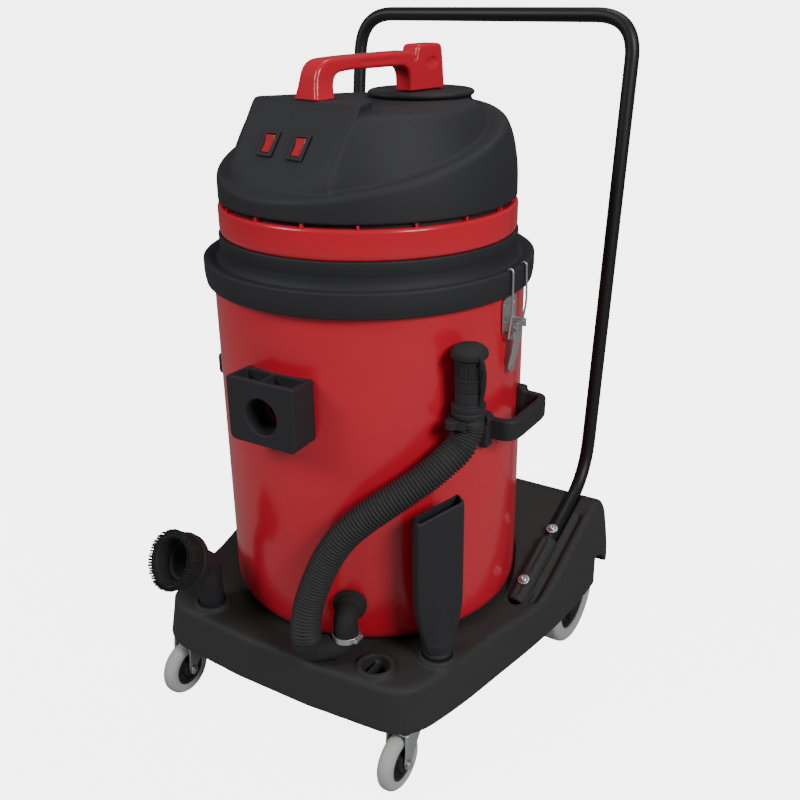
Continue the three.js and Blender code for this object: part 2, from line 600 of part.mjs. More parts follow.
place('drain_elbow', drainElbow(), RUBBER);
place('drain_clamp', drainClamp(), ZINC);
const hoseStops = HOSE_ROUTE.map((point) => new THREE.Vector3(...point));
const hoseCourse = new THREE.CatmullRomCurve3(hoseStops, false, 'centripetal');
place('drain_hose', sweep(hoseCourse, HOSE_R, SMALL, 24), BLACK_TUBE);
const cuffFoot = up(HOSE_TOP, GAP);
const capFoot = up(cuffFoot, CUFF_LENGTH + GAP);
place('hose_cuff', join(rod(cuffFoot, up(cuffFoot, 16), HOSE_R + 1.5),
  rod(up(cuffFoot, 15), up(cuffFoot, CUFF_LENGTH), HOSE_R - 3)), BLACK_SHELL);
place('drain_cap', join(rod(capFoot, up(capFoot, CAP_LENGTH - 14), CAP_R - 2),
  rod(up(capFoot, CAP_LENGTH - 14.5), up(capFoot, CAP_LENGTH - 5), CAP_R + 3.5),
  rod(up(capFoot, CAP_LENGTH - 5.5), up(capFoot, CAP_LENGTH), CAP_R + 3.5, MIDDLE, CAP_R - 5)), RUBBER);

// A spring clip on the tank that holds the hose just below its cuff.
function hoseClip() {
  const [x, y, z] = [HOSE_TOP[0], HOSE_TOP[1], HOSE_TOP[2] - 13];
  const inner = HOSE_R + 1.2;
  const band = ring(inner, inner + 3.2, z, z + 10, MIDDLE).translate([x, y, 0]);
  const away = new THREE.Vector2(x, y).normalize();
  const [mouthX, mouthY] = [x + away.x * 22, y + away.y * 22];
  const mouth = rod([mouthX, mouthY, z - 5], [mouthX, mouthY, z + 20], 20);
  const foot = block(TANK_R - 8.2, HOSE_OUT - inner + 1, -10, 10, z, z + 10)
    .rotate([0, 0, THREE.MathUtils.radToDeg(Math.atan2(y, x))]);
  const bore = rod([x, y, z - 5], [x, y, z + 20], inner);
  return cut(join(cut(band, mouth), cut(foot, bore)), tankBore(TANK_R + GAP, z - 20, z + 40));
}
place('hose_clip', hoseClip(), BLACK_SHELL);

// ---------------------------------------------------------------- motor head
const deckBottom = rimZ + SEAL_HEIGHT + 2 * GAP;
const ringBottom = rimZ - RIM_DROP;
const collarTop = ringTop + COLLAR_HEIGHT;
const bandBottom = collarTop + GAP;
const bandTop = bandBottom + BAND_HEIGHT;
const coverBottom = bandTop + VENT_GAP + GAP;
const coverTop = coverBottom + COVER_HEIGHT;
const DECK_PLATE = 6;

function motorDeck() {
  const body = turned([[0, deckBottom], [TANK_R + 2.5, deckBottom], [TANK_R + 2.5, ringBottom],
    [RING_R - 2, ringBottom], [RING_R, ringBottom + 3], [RING_R, ringTop - 4], [RING_R - 4, ringTop],
    [COLLAR_R, ringTop], [COLLAR_R, collarTop], [COLLAR_R - 5, collarTop],
    [COLLAR_R - 5, deckBottom + DECK_PLATE], [0, deckBottom + DECK_PLATE]]);
  const holes = [-1, 1].map((side) => rod([side * MOTOR_X, 0, deckBottom - 9],
    [side * MOTOR_X, 0, deckBottom + 20], 24, 20));
  return cut(body, ...holes);
}

function exhaustBand() {
  const inner = BAND_R - 8;
  let band = turned([[inner, bandBottom], [BAND_R - 1, bandBottom], [BAND_R, bandBottom + 2],
    [BAND_R, bandTop - 2], [BAND_R - 1, bandTop], [inner, bandTop], [inner, bandBottom]]);
  const ribs = 18;
  for (let i = 0; i < ribs; i += 1) {
    const rib = block(inner, inner + 6, -2.5, 2.5, bandTop - 1, bandTop + VENT_GAP);
    band = join(band, rib.rotate([0, 0, 360 / ribs * (i + 0.5)]));
  }
  return band;
}

// The switch face slopes back from the step to the panel's top edge.
const PANEL_TOP_Y = -113;
const PANEL_BACK = -62;
const PANEL_TAPER = 27;                        // how much narrower the block is at its back
const PANEL_SLOPE = 1.4;                       // rise for each mm back
const faceY = (z) => PANEL_TOP_Y - (coverTop - z) / PANEL_SLOPE;

const flatTop = coverTop - PANEL_STEP;

function coverForm(inset) {
  const b = coverBottom - (inset > 0 ? 20 : 0);
  const lower = turned([[0, b], [COVER_R - inset, b], [COVER_R - 0.4 - inset, coverBottom + 27],
    [COVER_R - 2.5 - inset, coverBottom + 50], [COVER_R - 7.5 - inset, coverBottom + 78],
    [COVER_R - 16 - inset, coverBottom + 98], [COVER_R - 27 - inset, coverBottom + 112 - inset / 2],
    [COVER_R - 40 - inset, flatTop - inset], [0, flatTop - inset]]);
  const creaseZ = (y) => coverBottom + 76 - inset + CREASE_TILT * y;
  const below = alongX([[-300, b - 10], [300, b - 10], [300, creaseZ(300)], [-300, creaseZ(-300)]],
    -300, 300);
  const dome = turned([[0, b], [COVER_R - 14 - inset, b], [COVER_R - 16 - inset, coverBottom + 28],
    [COVER_R - 25 - inset, coverBottom + 57], [COVER_R - 37 - inset, coverBottom + 89],
    [COVER_R - 46 - inset, coverBottom + 108 - inset], [COVER_R - 58 - inset, flatTop - inset],
    [0, flatTop - inset]]);
  const [front, rear] = [PANEL_HALF - inset, PANEL_HALF - PANEL_TAPER - inset];
  const panelPlan = outlineOf([[-front, -COVER_R], [front, -COVER_R], [front, PANEL_TOP_Y],
    [rear, PANEL_BACK - inset], [-rear, PANEL_BACK - inset], [-front, PANEL_TOP_Y]]);
  const panel = alongZ(panelPlan, b, coverTop - inset)
    .intersect(rod([0, 0, b - 1], [0, 0, coverTop + 1], COVER_R - 10 - inset, LARGE));
  const face = alongX([[faceY(b) + inset, b - 1], [300, b - 1], [300, coverTop + 20],
    [faceY(coverTop + 20) + inset, coverTop + 20]], -300, 300);
  return join(lower.intersect(below), join(dome, panel).intersect(face));
}

const SWITCH_X = 28;
const SWITCH_Z = coverTop - 52;
const CAP_DISC_Y = 113;
const CAP_DISC_R = 76;
const discBottom = flatTop + GAP;

// Turns a piece built flat, front towards +Z, so that it lies in the switch face at this x.
function onFace(body, x) {
  const tilt = THREE.MathUtils.radToDeg(Math.atan2(PANEL_SLOPE, 1));
  return body.rotate([tilt, 0, 0]).translate([x, faceY(SWITCH_Z), SWITCH_Z]);
}

function headCover() {
  const hollow = coverForm(COVER_WALL);
  const pedestal = rod([0, CAP_DISC_Y, coverTop - 60], [0, CAP_DISC_Y, flatTop], CAP_DISC_R - 4, LARGE);
  const clearTop = rod([0, CAP_DISC_Y, flatTop], [0, CAP_DISC_Y, coverTop + 30],
    CAP_DISC_R + 1, MIDDLE);
  let cover = cut(join(coverForm(0), pedestal), clearTop, hollow);
  for (const side of [-1, 1]) {
    cover = cut(cover, onFace(block(-11.5, 11.5, -15.5, 15.5, -30, 30), side * SWITCH_X));
  }
  return cut(cover, rod([0, COVER_R - 30, coverBottom + 32], [0, COVER_R + 9, coverBottom + 32], 6, SMALL));
}

function capDisc() {
  const profile = [[0, discBottom], [CAP_DISC_R - 3, discBottom], [CAP_DISC_R, discBottom + 2],
    [CAP_DISC_R, discBottom + 6], [CAP_DISC_R - 3, discBottom + 9], [0, discBottom + 9]];
  return turned(profile, MIDDLE).translate([0, CAP_DISC_Y, 0]);
}

// Carry handle: front foot on the panel block, rear foot with a cable hook on the cap disc.
function carryHandle() {
  const [half, front] = [16, coverTop + GAP];
  const rear = discBottom + 9 + GAP;
  const shape = new THREE.Shape();
  shape.moveTo(PANEL_TOP_Y + 1, front);
  shape.quadraticCurveTo(PANEL_TOP_Y + 8, coverTop + 44, PANEL_TOP_Y + 44, coverTop + 48);
  shape.lineTo(46, coverTop + 50);
  shape.quadraticCurveTo(74, coverTop + 50, 86, coverTop + 36);
  shape.lineTo(92, coverTop + 57);
  shape.lineTo(141, coverTop + 57);
  shape.lineTo(149, rear);
  shape.lineTo(74, rear);
  shape.lineTo(73, coverTop + 12);
  shape.quadraticCurveTo(70, coverTop + 30, 48, coverTop + 31);
  shape.lineTo(-48, coverTop + 31);
  shape.quadraticCurveTo(-76, coverTop + 30, -77, front);
  const geometry = new THREE.ExtrudeGeometry(shape, {
    depth: 2 * half - 8, bevelEnabled: true, bevelThickness: 4, bevelSize: 4, bevelOffset: -4,
    bevelSegments: 2, curveSegments: 8,
  });
  const axes = new THREE.Matrix4().makeBasis(
    new THREE.Vector3(0, 1, 0), new THREE.Vector3(0, 0, 1), new THREE.Vector3(1, 0, 0));
  const bar = solid(geometry.applyMatrix4(axes).translate(-half + 4, 0, 0));
  const foot = block(-22, 22, PANEL_TOP_Y + 2, -78, front, coverTop + 14);
  return cut(join(bar, foot), block(-60, 60, 60, 200, coverTop - 40, rear),
    block(-60, 60, -200, 0, coverTop - 40, front));
}

place('tank_seal', ring(TANK_R - 9, TANK_R, rimZ + GAP, rimZ + GAP + SEAL_HEIGHT), RUBBER, head);
place('motor_deck', motorDeck(), BLACK_SHELL, head);
place('exhaust_band', exhaustBand(), RED_SHELL, head);
place('head_cover', headCover(), BLACK_SHELL, head);
place('cap_disc', capDisc(), BLACK_SHELL, head);
place('carry_handle', carryHandle(), RED_SHELL, head);

// Rocker switches: a frame clipped in the cover, with a rocker on a cross pin.
for (const [name, side] of [['right', 1], ['left', -1]]) {
  const frame = cut(join(block(-14, 14, -18, 18, GAP, 3), block(-11, 11, -15, 15, -14, 1)),
    block(-9, 9, -13, 13, -11, 9));
  const rocker = alongX([[-11.8, 1.6], [0, 0.6], [11.8, 4.2], [11.2, -2], [4, -8], [-4, -8], [-11.2, -2]],
    -8.5, 8.5);
  place(`switch_frame_${name}`, onFace(frame, side * SWITCH_X), BLACK_SHELL, head);
  place(`switch_rocker_${name}`, onFace(rocker, side * SWITCH_X), LIT_RED, head);
}

// Power cord gland in the back of the cover.
place('cord_gland', join(rod([0, COVER_R + 1, coverBottom + 32], [0, COVER_R + 5, coverBottom + 32], 11, 16),
  rod([0, COVER_R + 4, coverBottom + 32], [0, COVER_R + 24, coverBottom + 32], 9, 16, 6),
  rod([0, COVER_R - 14, coverBottom + 32], [0, COVER_R + 3, coverBottom + 32], 5.5, SMALL)), RUBBER, head);

// Two bypass vacuum motors stand side by side on the deck plate.
const motorFoot = deckBottom + DECK_PLATE + GAP;
for (const [name, side] of [['right', 1], ['left', -1]]) {
  const motor = cut(turned([[0, 0], [MOTOR_R, 0], [MOTOR_R, 46], [MOTOR_R - 4, 52], [42, 52], [42, 58],
    [47, 60], [47, 104], [38, 112], [18, 114], [18, MOTOR_HEIGHT], [0, MOTOR_HEIGHT]], MIDDLE),
  rod([0, 0, -5], [0, 0, 18], 22, 16));
  place(`vacuum_motor_${name}`, motor.translate([side * MOTOR_X, 0, motorFoot]), CAST, head);
}

// Below the deck: a cage with a float that shuts the air off when the tank is full, in a cloth filter.
const CAGE_R = 106;
const CAGE_DEPTH = 96;
const cageTop = deckBottom - GAP;

function floatCage() {
  const floor = cageTop - CAGE_DEPTH;
  let cage = turned([[0, floor], [CAGE_R - 8, floor], [CAGE_R - 8, cageTop - 5], [CAGE_R, cageTop - 5],
    [CAGE_R, cageTop], [CAGE_R - 12, cageTop], [CAGE_R - 12, floor + 4], [0, floor + 4]], MIDDLE);
  const windows = 8;
  for (let i = 0; i < windows; i += 1) {
    const window = block(CAGE_R - 30, CAGE_R + 5, -24, 24, floor + 14, cageTop - 22);
    cage = cut(cage, window.rotate([0, 0, 360 / windows * i]));
  }
  return cage;
}

place('float_cage', floatCage(), BLACK_SHELL, head);
place('shutoff_float', turned([[0, 0], [70, 0], [74, 5], [74, 28], [70, 33], [0, 33]], MIDDLE)
  .translate([0, 0, cageTop - CAGE_DEPTH + 4 + GAP]), FELT, head);
place('cloth_filter', turned([[0, cageTop - 128], [100, cageTop - 128], [122, cageTop - 90], [134, cageTop],
  [124, cageTop], [116, cageTop - 88], [96, cageTop - 124], [0, cageTop - 124]], MIDDLE), FELT, head);

// ---------------------------------------------------------------- tools in the trolley's sockets
const toolFoot = DECK_Z - SOCKET_DEPTH + GAP;

// A round brush on a bent neck, looking forwards and up.
function roundBrush() {
  const [x, y] = SOCKETS[1];
  const elbow = new THREE.Vector3(x, y, DECK_Z + 74);
  const look = new THREE.Vector3(-0.07, -0.87, 0.48).normalize();
  const at = (reach) => elbow.clone().addScaledVector(look, reach).toArray();
  const neck = sweep(bentPath([[x, y, toolFoot], elbow.toArray(), at(30)], 26), TOOL_R, 16, 10);
  const cup = join(rod(at(22), at(38), TOOL_R, MIDDLE, 38), rod(at(37.5), at(52), 38, MIDDLE, 40));
  const bristles = cut(rod(at(52 + GAP), at(80), 39, MIDDLE, 45), rod(at(51), at(81), 28, MIDDLE, 31));
  return [join(neck, cup), bristles];
}

function creviceTool() {
  const [x, y] = SOCKETS[2];
  const [half, tall] = [33, 400];
  const blade = alongY([[-TOOL_R, DECK_Z + 20], [TOOL_R, DECK_Z + 20], [half, DECK_Z + 78], [half, tall + 8],
    [-half, tall - 16], [-half, DECK_Z + 78]], -12, 12);
  const neck = rod([0, 0, toolFoot], [0, 0, DECK_Z + 30], TOOL_R, 20);
  const root = rod([0, 0, DECK_Z + 29], [0, 0, DECK_Z + 76], TOOL_R, 20, 11);
  const air = block(-half + 4, half - 4, -8, 8, DECK_Z + 90, tall + 30);
  const turn = THREE.MathUtils.radToDeg(Math.atan2(x, -y));
  return cut(join(blade, neck, root), air).rotate([0, 0, turn]).translate([x, y, 0]);
}

const [brushBody, brushBristles] = roundBrush();
place('round_brush_body', brushBody, BLACK_SHELL);
place('round_brush_bristles', brushBristles, RUBBER);
place('crevice_tool', creviceTool(), BLACK_SHELL);

// ---------------------------------------------------------------- centre the machine over its footprint
const footprint = new THREE.Box3();
machine.updateMatrixWorld(true);
machine.traverse((item) => {
  if (item.isMesh && item.name !== 'drain_hose') footprint.expandByObject(item, true);
});
machine.position.y = -(footprint.min.y + footprint.max.y) / 2;

export default machine;
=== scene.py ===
import math
import random

import bmesh
import bpy
import numpy as np
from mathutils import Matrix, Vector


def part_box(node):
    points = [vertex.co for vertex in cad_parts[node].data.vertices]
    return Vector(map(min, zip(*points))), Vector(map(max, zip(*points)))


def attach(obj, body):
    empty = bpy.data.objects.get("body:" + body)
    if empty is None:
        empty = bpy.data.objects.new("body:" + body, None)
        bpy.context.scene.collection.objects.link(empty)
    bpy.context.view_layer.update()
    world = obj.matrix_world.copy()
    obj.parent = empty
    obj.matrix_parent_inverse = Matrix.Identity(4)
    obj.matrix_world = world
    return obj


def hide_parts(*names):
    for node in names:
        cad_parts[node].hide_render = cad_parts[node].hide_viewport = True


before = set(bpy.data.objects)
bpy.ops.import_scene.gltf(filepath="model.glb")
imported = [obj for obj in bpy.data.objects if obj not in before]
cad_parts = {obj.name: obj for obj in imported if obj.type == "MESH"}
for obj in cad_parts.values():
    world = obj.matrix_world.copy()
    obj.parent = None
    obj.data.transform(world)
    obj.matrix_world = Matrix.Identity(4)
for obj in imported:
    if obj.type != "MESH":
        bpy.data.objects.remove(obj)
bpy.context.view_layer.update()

import openvdb
from bpy.props import FloatProperty, FloatVectorProperty, IntProperty, PointerProperty
from mathutils import Matrix, Vector

bl_info = {
    "name": "Shop Vacuum",
    "version": (1, 0, 0),
    "blender": (4, 5, 0),
    "location": "View3D > Sidebar > Shop Vacuum",
    "description": "Builds the fine surface and finishes of a wet and dry shop vacuum round its packed frame",
    "category": "Add Mesh",
}

# ------------------------------------------------------------------ the frame's own levels, in millimetres
# Pieces are shaped in millimetres from the tank's axis, then set into the frame in metres.
MM = 0.001                                 # metres in a millimetre
GAP = 0.3                                  # between two pieces that touch


def low(node):
    """Height of a CAD node's lowest point, in millimetres."""
    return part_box(node)[0].z / MM


def high(node):
    """Height of a CAD node's highest point, in millimetres."""
    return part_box(node)[1].z / MM


AXIS_Y = (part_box("tank")[0].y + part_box("tank")[1].y) / 2
IN_FRAME = Matrix.Translation((0, AXIS_Y, 0)) @ Matrix.Scale(MM, 4)
HEAD_TURN = math.radians(-10)
IN_HEAD = IN_FRAME @ Matrix.Rotation(HEAD_TURN, 4, "Z")

TANK_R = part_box("tank")[1].x / MM
TANK_FLOOR = low("tank")
RIM_Z = high("tank")
DECK_Z = TANK_FLOOR - GAP
RING_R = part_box("motor_deck")[1].x / MM
RING_LOW = low("motor_deck")
RING_TOP = RING_LOW + 35
COLLAR_TOP = high("motor_deck")
BAND_LOW = low("exhaust_band")
BAND_TOP = BAND_LOW + 39
COVER_LOW = low("head_cover")
COVER_TOP = high("head_cover")             # the front block that the handle stands on
SKIRT_Z = 93
WHEEL_Y = 184
RIGHT_AND_LEFT = (("right", 1), ("left", -1))


# ------------------------------------------------------------------ sizes and colours
def length(name, description, default):
    """A length property, in metres."""
    return FloatProperty(name=name, description=description, default=default, min=0,
                         unit="LENGTH", precision=4)


def colour(name, description, default):
    """A linear colour property."""
    return FloatVectorProperty(name=name, description=description, default=default, min=0, max=1,
                               size=3, subtype="COLOR")


class VacuumSizes(bpy.types.PropertyGroup):
    """Sizes of the fine surface."""
    hose_pitch: length("Hose pitch", "Distance from one rib of the drain hose to the next", 0.0047)
    hose_rib: length("Hose rib", "Height of a rib of the drain hose", 0.0024)
    cover_voxel: length("Cover grid", "Grid that the head cover is shaped on", 0.002)
    trolley_voxel: length("Trolley grid", "Grid that the trolley is shaped on", 0.0026)
    fitting_voxel: length("Fitting grid", "Grid that small mouldings are shaped on", 0.001)
    tuft_rows: IntProperty(name="Tuft rows", description="Rings of tufts in the round brush",
                           default=3, min=1)
    tufts: IntProperty(name="Tufts", description="Tufts in the outer ring of the round brush",
                       default=64, min=8)


class VacuumColours(bpy.types.PropertyGroup):
    """Base colours of the finishes."""
    red_shell: colour("Red shell", "Tank, band and carry handle", (0.36, 0.0002, 0.0006))
    black_shell: colour("Black shell", "Head, block and fittings", (0.0026, 0.0026, 0.0028))
    black_base: colour("Black base", "Trolley", (0.0042, 0.0041, 0.0041))
    handle_tube: colour("Handle tube", "Powder coat of the push handle", (0.005, 0.0048, 0.0046))
    black_rubber: colour("Black rubber", "Elbow, cap and seal", (0.0032, 0.0032, 0.0032))
    hose: colour("Hose", "Ribbed drain hose", (0.0022, 0.0022, 0.0024))
    grey_tyre: colour("Grey tyre", "Tyres of all four wheels", (0.40, 0.40, 0.385))
    zinc: colour("Zinc", "Latches, forks and bolts", (0.62, 0.62, 0.63))
    lit_red: colour("Lit red", "Switch rockers", (0.50, 0.01, 0.012))
    motor_case: colour("Motor case", "Cast casings of the vacuum motors", (0.42, 0.43, 0.44))
    felt: colour("Felt", "Cloth filter", (0.62, 0.59, 0.52))
    float_foam: colour("Float foam", "Shut-off float", (0.66, 0.64, 0.58))
    bristle: colour("Bristle", "Nylon tufts of the round brush", (0.004, 0.004, 0.004))
    floor: colour("Floor", "The plain pale floor", (0.45, 0.45, 0.45))


# ------------------------------------------------------------------ shader nodes
def add(tree, kind, inputs=None, **settings):
    """Adds a shader node; an input is a plain value or another node's output."""
    node = tree.nodes.new(kind)
    for key, value in settings.items():
        setattr(node, key, value)
    for key, value in (inputs or {}).items():
        if isinstance(value, bpy.types.NodeSocket):
            tree.links.new(value, node.inputs[key])
        else:
            node.inputs[key].default_value = value
    return node


def mix_colour(tree, factor, first, second):
    """A colour between two others."""
    node = add(tree, "ShaderNodeMix", {0: factor, 6: first, 7: second}, data_type="RGBA")
    return node.outputs[2]


def spread(tree, value, from_low, from_high, to_low, to_high):
    """Moves a value from one range to another, held inside it."""
    node = add(tree, "ShaderNodeMapRange", {0: value, 1: from_low, 2: from_high, 3: to_low, 4: to_high})
    return node.outputs[0]


def group(name, inputs, outputs, fill):
    """A node group with these named float sockets, made once."""
    if name in bpy.data.node_groups:
        return bpy.data.node_groups[name]
    tree = bpy.data.node_groups.new(name, "ShaderNodeTree")
    for socket, default in inputs.items():
        made = tree.interface.new_socket(name=socket, in_out="INPUT", socket_type="NodeSocketFloat")
        made.default_value = default
    for socket in outputs:
        tree.interface.new_socket(name=socket, in_out="OUTPUT", socket_type="NodeSocketFloat")
    fill(tree, tree.nodes.new("NodeGroupInput"), tree.nodes.new("NodeGroupOutput"))
    return tree


def moulded_grain():
    """The fine stipple that a spark-eroded mould leaves."""
    def fill(tree, given, result):
        place = add(tree, "ShaderNodeTexCoord").outputs["Object"]
        pits = add(tree, "ShaderNodeTexVoronoi", {"Vector": place, "Scale": given.outputs["Scale"]},
                   feature="SMOOTH_F1")
        waves = add(tree, "ShaderNodeTexNoise",
                    {"Vector": place, "Scale": given.outputs["Scale"], "Detail": 3.0})
        both_parts = add(tree, "ShaderNodeMath", {0: pits.outputs["Distance"], 1: waves.outputs["Fac"]},
                         operation="ADD")
        tree.links.new(both_parts.outputs[0], result.inputs["Height"])
    return group("Moulded Grain", {"Scale": 900.0}, ["Height"], fill)


def handling_marks():
    """Smears and fine scratches from use, as a mask."""
    def fill(tree, given, result):
        place = add(tree, "ShaderNodeTexCoord").outputs["Object"]
        stretched = add(tree, "ShaderNodeMapping", {"Vector": place, "Scale": (1.0, 1.0, 5.0)})
        smear = add(tree, "ShaderNodeTexNoise",
                    {"Vector": place, "Scale": given.outputs["Scale"], "Detail": 5.0, "Roughness": 0.6})
        scratch = add(tree, "ShaderNodeTexNoise",
                      {"Vector": stretched.outputs[0], "Scale": 60.0, "Detail": 8.0, "Distortion": 1.5})
        broad = spread(tree, smear.outputs["Fac"], 0.45, 0.75, 0.0, 0.8)
        fine = spread(tree, scratch.outputs["Fac"], 0.60, 0.66, 0.0, 0.5)
        total = add(tree, "ShaderNodeMath", {0: broad, 1: fine}, operation="ADD", use_clamp=True)
        scaled = add(tree, "ShaderNodeMath", {0: total.outputs[0], 1: given.outputs["Amount"]},
                     operation="MULTIPLY")
        tree.links.new(scaled.outputs[0], result.inputs["Mask"])
    return group("Handling Marks", {"Scale": 12.0, "Amount": 1.0}, ["Mask"], fill)


def settled_dust():
    """Fine dust on what faces up, as a mask."""
    def fill(tree, given, result):
        geometry = add(tree, "ShaderNodeNewGeometry")
        upward = add(tree, "ShaderNodeSeparateXYZ", {"Vector": geometry.outputs["Normal"]})
        place = add(tree, "ShaderNodeTexCoord").outputs["Object"]
        patches = add(tree, "ShaderNodeTexNoise", {"Vector": place, "Scale": 40.0, "Detail": 6.0})
        facing = spread(tree, upward.outputs["Z"], 0.35, 1.0, 0.0, 1.0)
        uneven = spread(tree, patches.outputs["Fac"], 0.35, 0.75, 0.15, 1.0)
        dust = add(tree, "ShaderNodeMath", {0: facing, 1: uneven}, operation="MULTIPLY")
        scaled = add(tree, "ShaderNodeMath", {0: dust.outputs[0], 1: given.outputs["Amount"]},
                     operation="MULTIPLY")
        tree.links.new(scaled.outputs[0], result.inputs["Mask"])
    return group("Settled Dust", {"Amount": 0.1}, ["Mask"], fill)


def worn_edges():
    """Where corners have rubbed, as a mask."""
    def fill(tree, given, result):
        geometry = add(tree, "ShaderNodeNewGeometry")
        place = add(tree, "ShaderNodeTexCoord").outputs["Object"]
        breaks = add(tree, "ShaderNodeTexNoise", {"Vector": place, "Scale": 90.0, "Detail": 4.0})
        corner = spread(tree, geometry.outputs["Pointiness"], 0.53, 0.62, 0.0, 1.0)
        patchy = spread(tree, breaks.outputs["Fac"], 0.4, 0.65, 0.1, 1.0)
        rubbed = add(tree, "ShaderNodeMath", {0: corner, 1: patchy}, operation="MULTIPLY")
        scaled = add(tree, "ShaderNodeMath", {0: rubbed.outputs[0], 1: given.outputs["Amount"]},
                     operation="MULTIPLY")
        tree.links.new(scaled.outputs[0], result.inputs["Mask"])
    return group("Worn Edges", {"Amount": 0.5}, ["Mask"], fill)


def use(tree, made, **inputs):
    """Places a node group in a material, with its own values."""
    node = tree.nodes.new("ShaderNodeGroup")
    node.node_tree = made
    for key, value in inputs.items():
        node.inputs[key].default_value = value
    return node.outputs[0]


DUST = (0.20, 0.19, 0.175, 1.0)

# Each finish: roughness, extra roughness where handled, grain scale per metre, grain depth in millimetres,
# dust, wear, and how much brighter the worn places are.
PLASTICS = {
    "red_shell": (0.22, 0.12, 420.0, 0.012, 0.012, 0.18, 1.4),
    "black_shell": (0.31, 0.12, 1500.0, 0.024, 0.02, 0.30, 2.6),
    "black_base": (0.38, 0.14, 1100.0, 0.040, 0.035, 0.40, 2.6),
    "handle_tube": (0.28, 0.14, 700.0, 0.016, 0.01, 0.25, 2.6),
    "black_rubber": (0.40, 0.12, 900.0, 0.030, 0.02, 0.20, 2.0),
    "hose": (0.20, 0.12, 900.0, 0.010, 0.01, 0.20, 2.4),
    "grey_tyre": (0.48, 0.14, 800.0, 0.030, 0.10, 0.25, 0.7),
    "float_foam": (0.80, 0.10, 500.0, 0.080, 0.05, 0.10, 0.8),
    "bristle": (0.42, 0.10, 900.0, 0.010, 0.04, 0.10, 2.0),
}


def principled(name):
    """An empty material with a Principled shader, its tree and the shader."""
    made = bpy.data.materials.new(name)
    made.use_nodes = True
    tree = made.node_tree
    tree.nodes.clear()
    shader = tree.nodes.new("ShaderNodeBsdfPrincipled")
    end = tree.nodes.new("ShaderNodeOutputMaterial")
    tree.links.new(shader.outputs["BSDF"], end.inputs["Surface"])
    return made, tree, shader


def bump(tree, shader, height, depth):
    """Raises the surface by this height, at most depth millimetres."""
    node = add(tree, "ShaderNodeBump", {"Height": height, "Distance": depth * MM, "Strength": 1.0})
    tree.links.new(node.outputs["Normal"], shader.inputs["Normal"])


def base_colour(name):
    """The finish's colour from the properties, with an alpha of one."""
    return (*getattr(bpy.context.scene.vacuum_colours, name), 1.0)


def plastic(name):
    """A moulded, coated or rubber finish: grain, marks from use, dust and rubbed corners."""
    roughness, marked, grain, depth, dust, wear, brightness = PLASTICS[name]
    made, tree, shader = principled(name)
    plain = base_colour(name)
    rubbed = (*[min(1.0, c * brightness + 0.002) for c in plain[:3]], 1.0)
    shade = add(tree, "ShaderNodeTexNoise",
                {"Vector": add(tree, "ShaderNodeTexCoord").outputs["Object"], "Scale": 7.0, "Detail": 4.0})
    deeper = (*[c * 0.86 for c in plain[:3]], 1.0)
    mottled = mix_colour(tree, spread(tree, shade.outputs["Fac"], 0.3, 0.7, 0.0, 1.0), deeper, plain)
    worn = mix_colour(tree, use(tree, worn_edges(), Amount=wear), mottled, rubbed)
    dusty = mix_colour(tree, use(tree, settled_dust(), Amount=dust), worn, DUST)
    marks = use(tree, handling_marks(), Scale=12.0, Amount=1.0)
    tree.links.new(dusty, shader.inputs["Base Color"])
    shader.inputs["Specular IOR Level"].default_value = 0.25
    tree.links.new(spread(tree, marks, 0.0, 1.0, roughness, roughness + marked), shader.inputs["Roughness"])
    bump(tree, shader, use(tree, moulded_grain(), Scale=grain), depth)
    return made, tree, shader


def red_shell():
    """Glossy coloured moulding with a thin clear skin."""
    made, _, shader = plastic("red_shell")
    shader.inputs["Coat Weight"].default_value = 0.2
    shader.inputs["Coat Roughness"].default_value = 0.16
    return made


def hose_plastic():
    """Ribbed polyethylene with a soft shine."""
    made, _, shader = plastic("hose")
    shader.inputs["Coat Weight"].default_value = 0.25
    shader.inputs["Coat Roughness"].default_value = 0.2
    return made


def metal(name, roughness, marked, brushed):
    """Plated or cast metal, with brushing drawn out along one way."""
    made, tree, shader = principled(name)
    plain = base_colour(name)
    darker = (*[c * 0.62 for c in plain[:3]], 1.0)
    place = add(tree, "ShaderNodeTexCoord").outputs["Object"]
    drawn = add(tree, "ShaderNodeMapping", {"Vector": place, "Scale": brushed})
    lines = add(tree, "ShaderNodeTexNoise", {"Vector": drawn.outputs[0], "Scale": 300.0, "Detail": 6.0})
    stains = add(tree, "ShaderNodeTexNoise", {"Vector": place, "Scale": 60.0, "Detail": 5.0})
    tree.links.new(mix_colour(tree, spread(tree, stains.outputs["Fac"], 0.5, 0.8, 0.0, 0.8), plain, darker),
                   shader.inputs["Base Color"])
    marks = use(tree, handling_marks(), Scale=30.0, Amount=1.0)
    tree.links.new(spread(tree, marks, 0.0, 1.0, roughness, roughness + marked), shader.inputs["Roughness"])
    shader.inputs["Metallic"].default_value = 1.0
    bump(tree, shader, lines.outputs["Fac"], 0.02)
    return made


def lit_red():
    """Clear red acrylic over a neon lamp."""
    made, tree, shader = principled("lit_red")
    place = add(tree, "ShaderNodeTexCoord").outputs["Object"]
    cloud = add(tree, "ShaderNodeTexNoise", {"Vector": place, "Scale": 130.0, "Detail": 2.0})
    plain = base_colour("lit_red")
    paler = (0.80, 0.20, 0.20, 1.0)
    tree.links.new(mix_colour(tree, spread(tree, cloud.outputs["Fac"], 0.42, 0.66, 0.0, 1.0), plain, paler),
                   shader.inputs["Base Color"])
    shader.inputs["Roughness"].default_value = 0.12
    shader.inputs["Coat Weight"].default_value = 1.0
    shader.inputs["Emission Color"].default_value = (0.9, 0.06, 0.05, 1.0)
    shader.inputs["Emission Strength"].default_value = 0.12
    return made


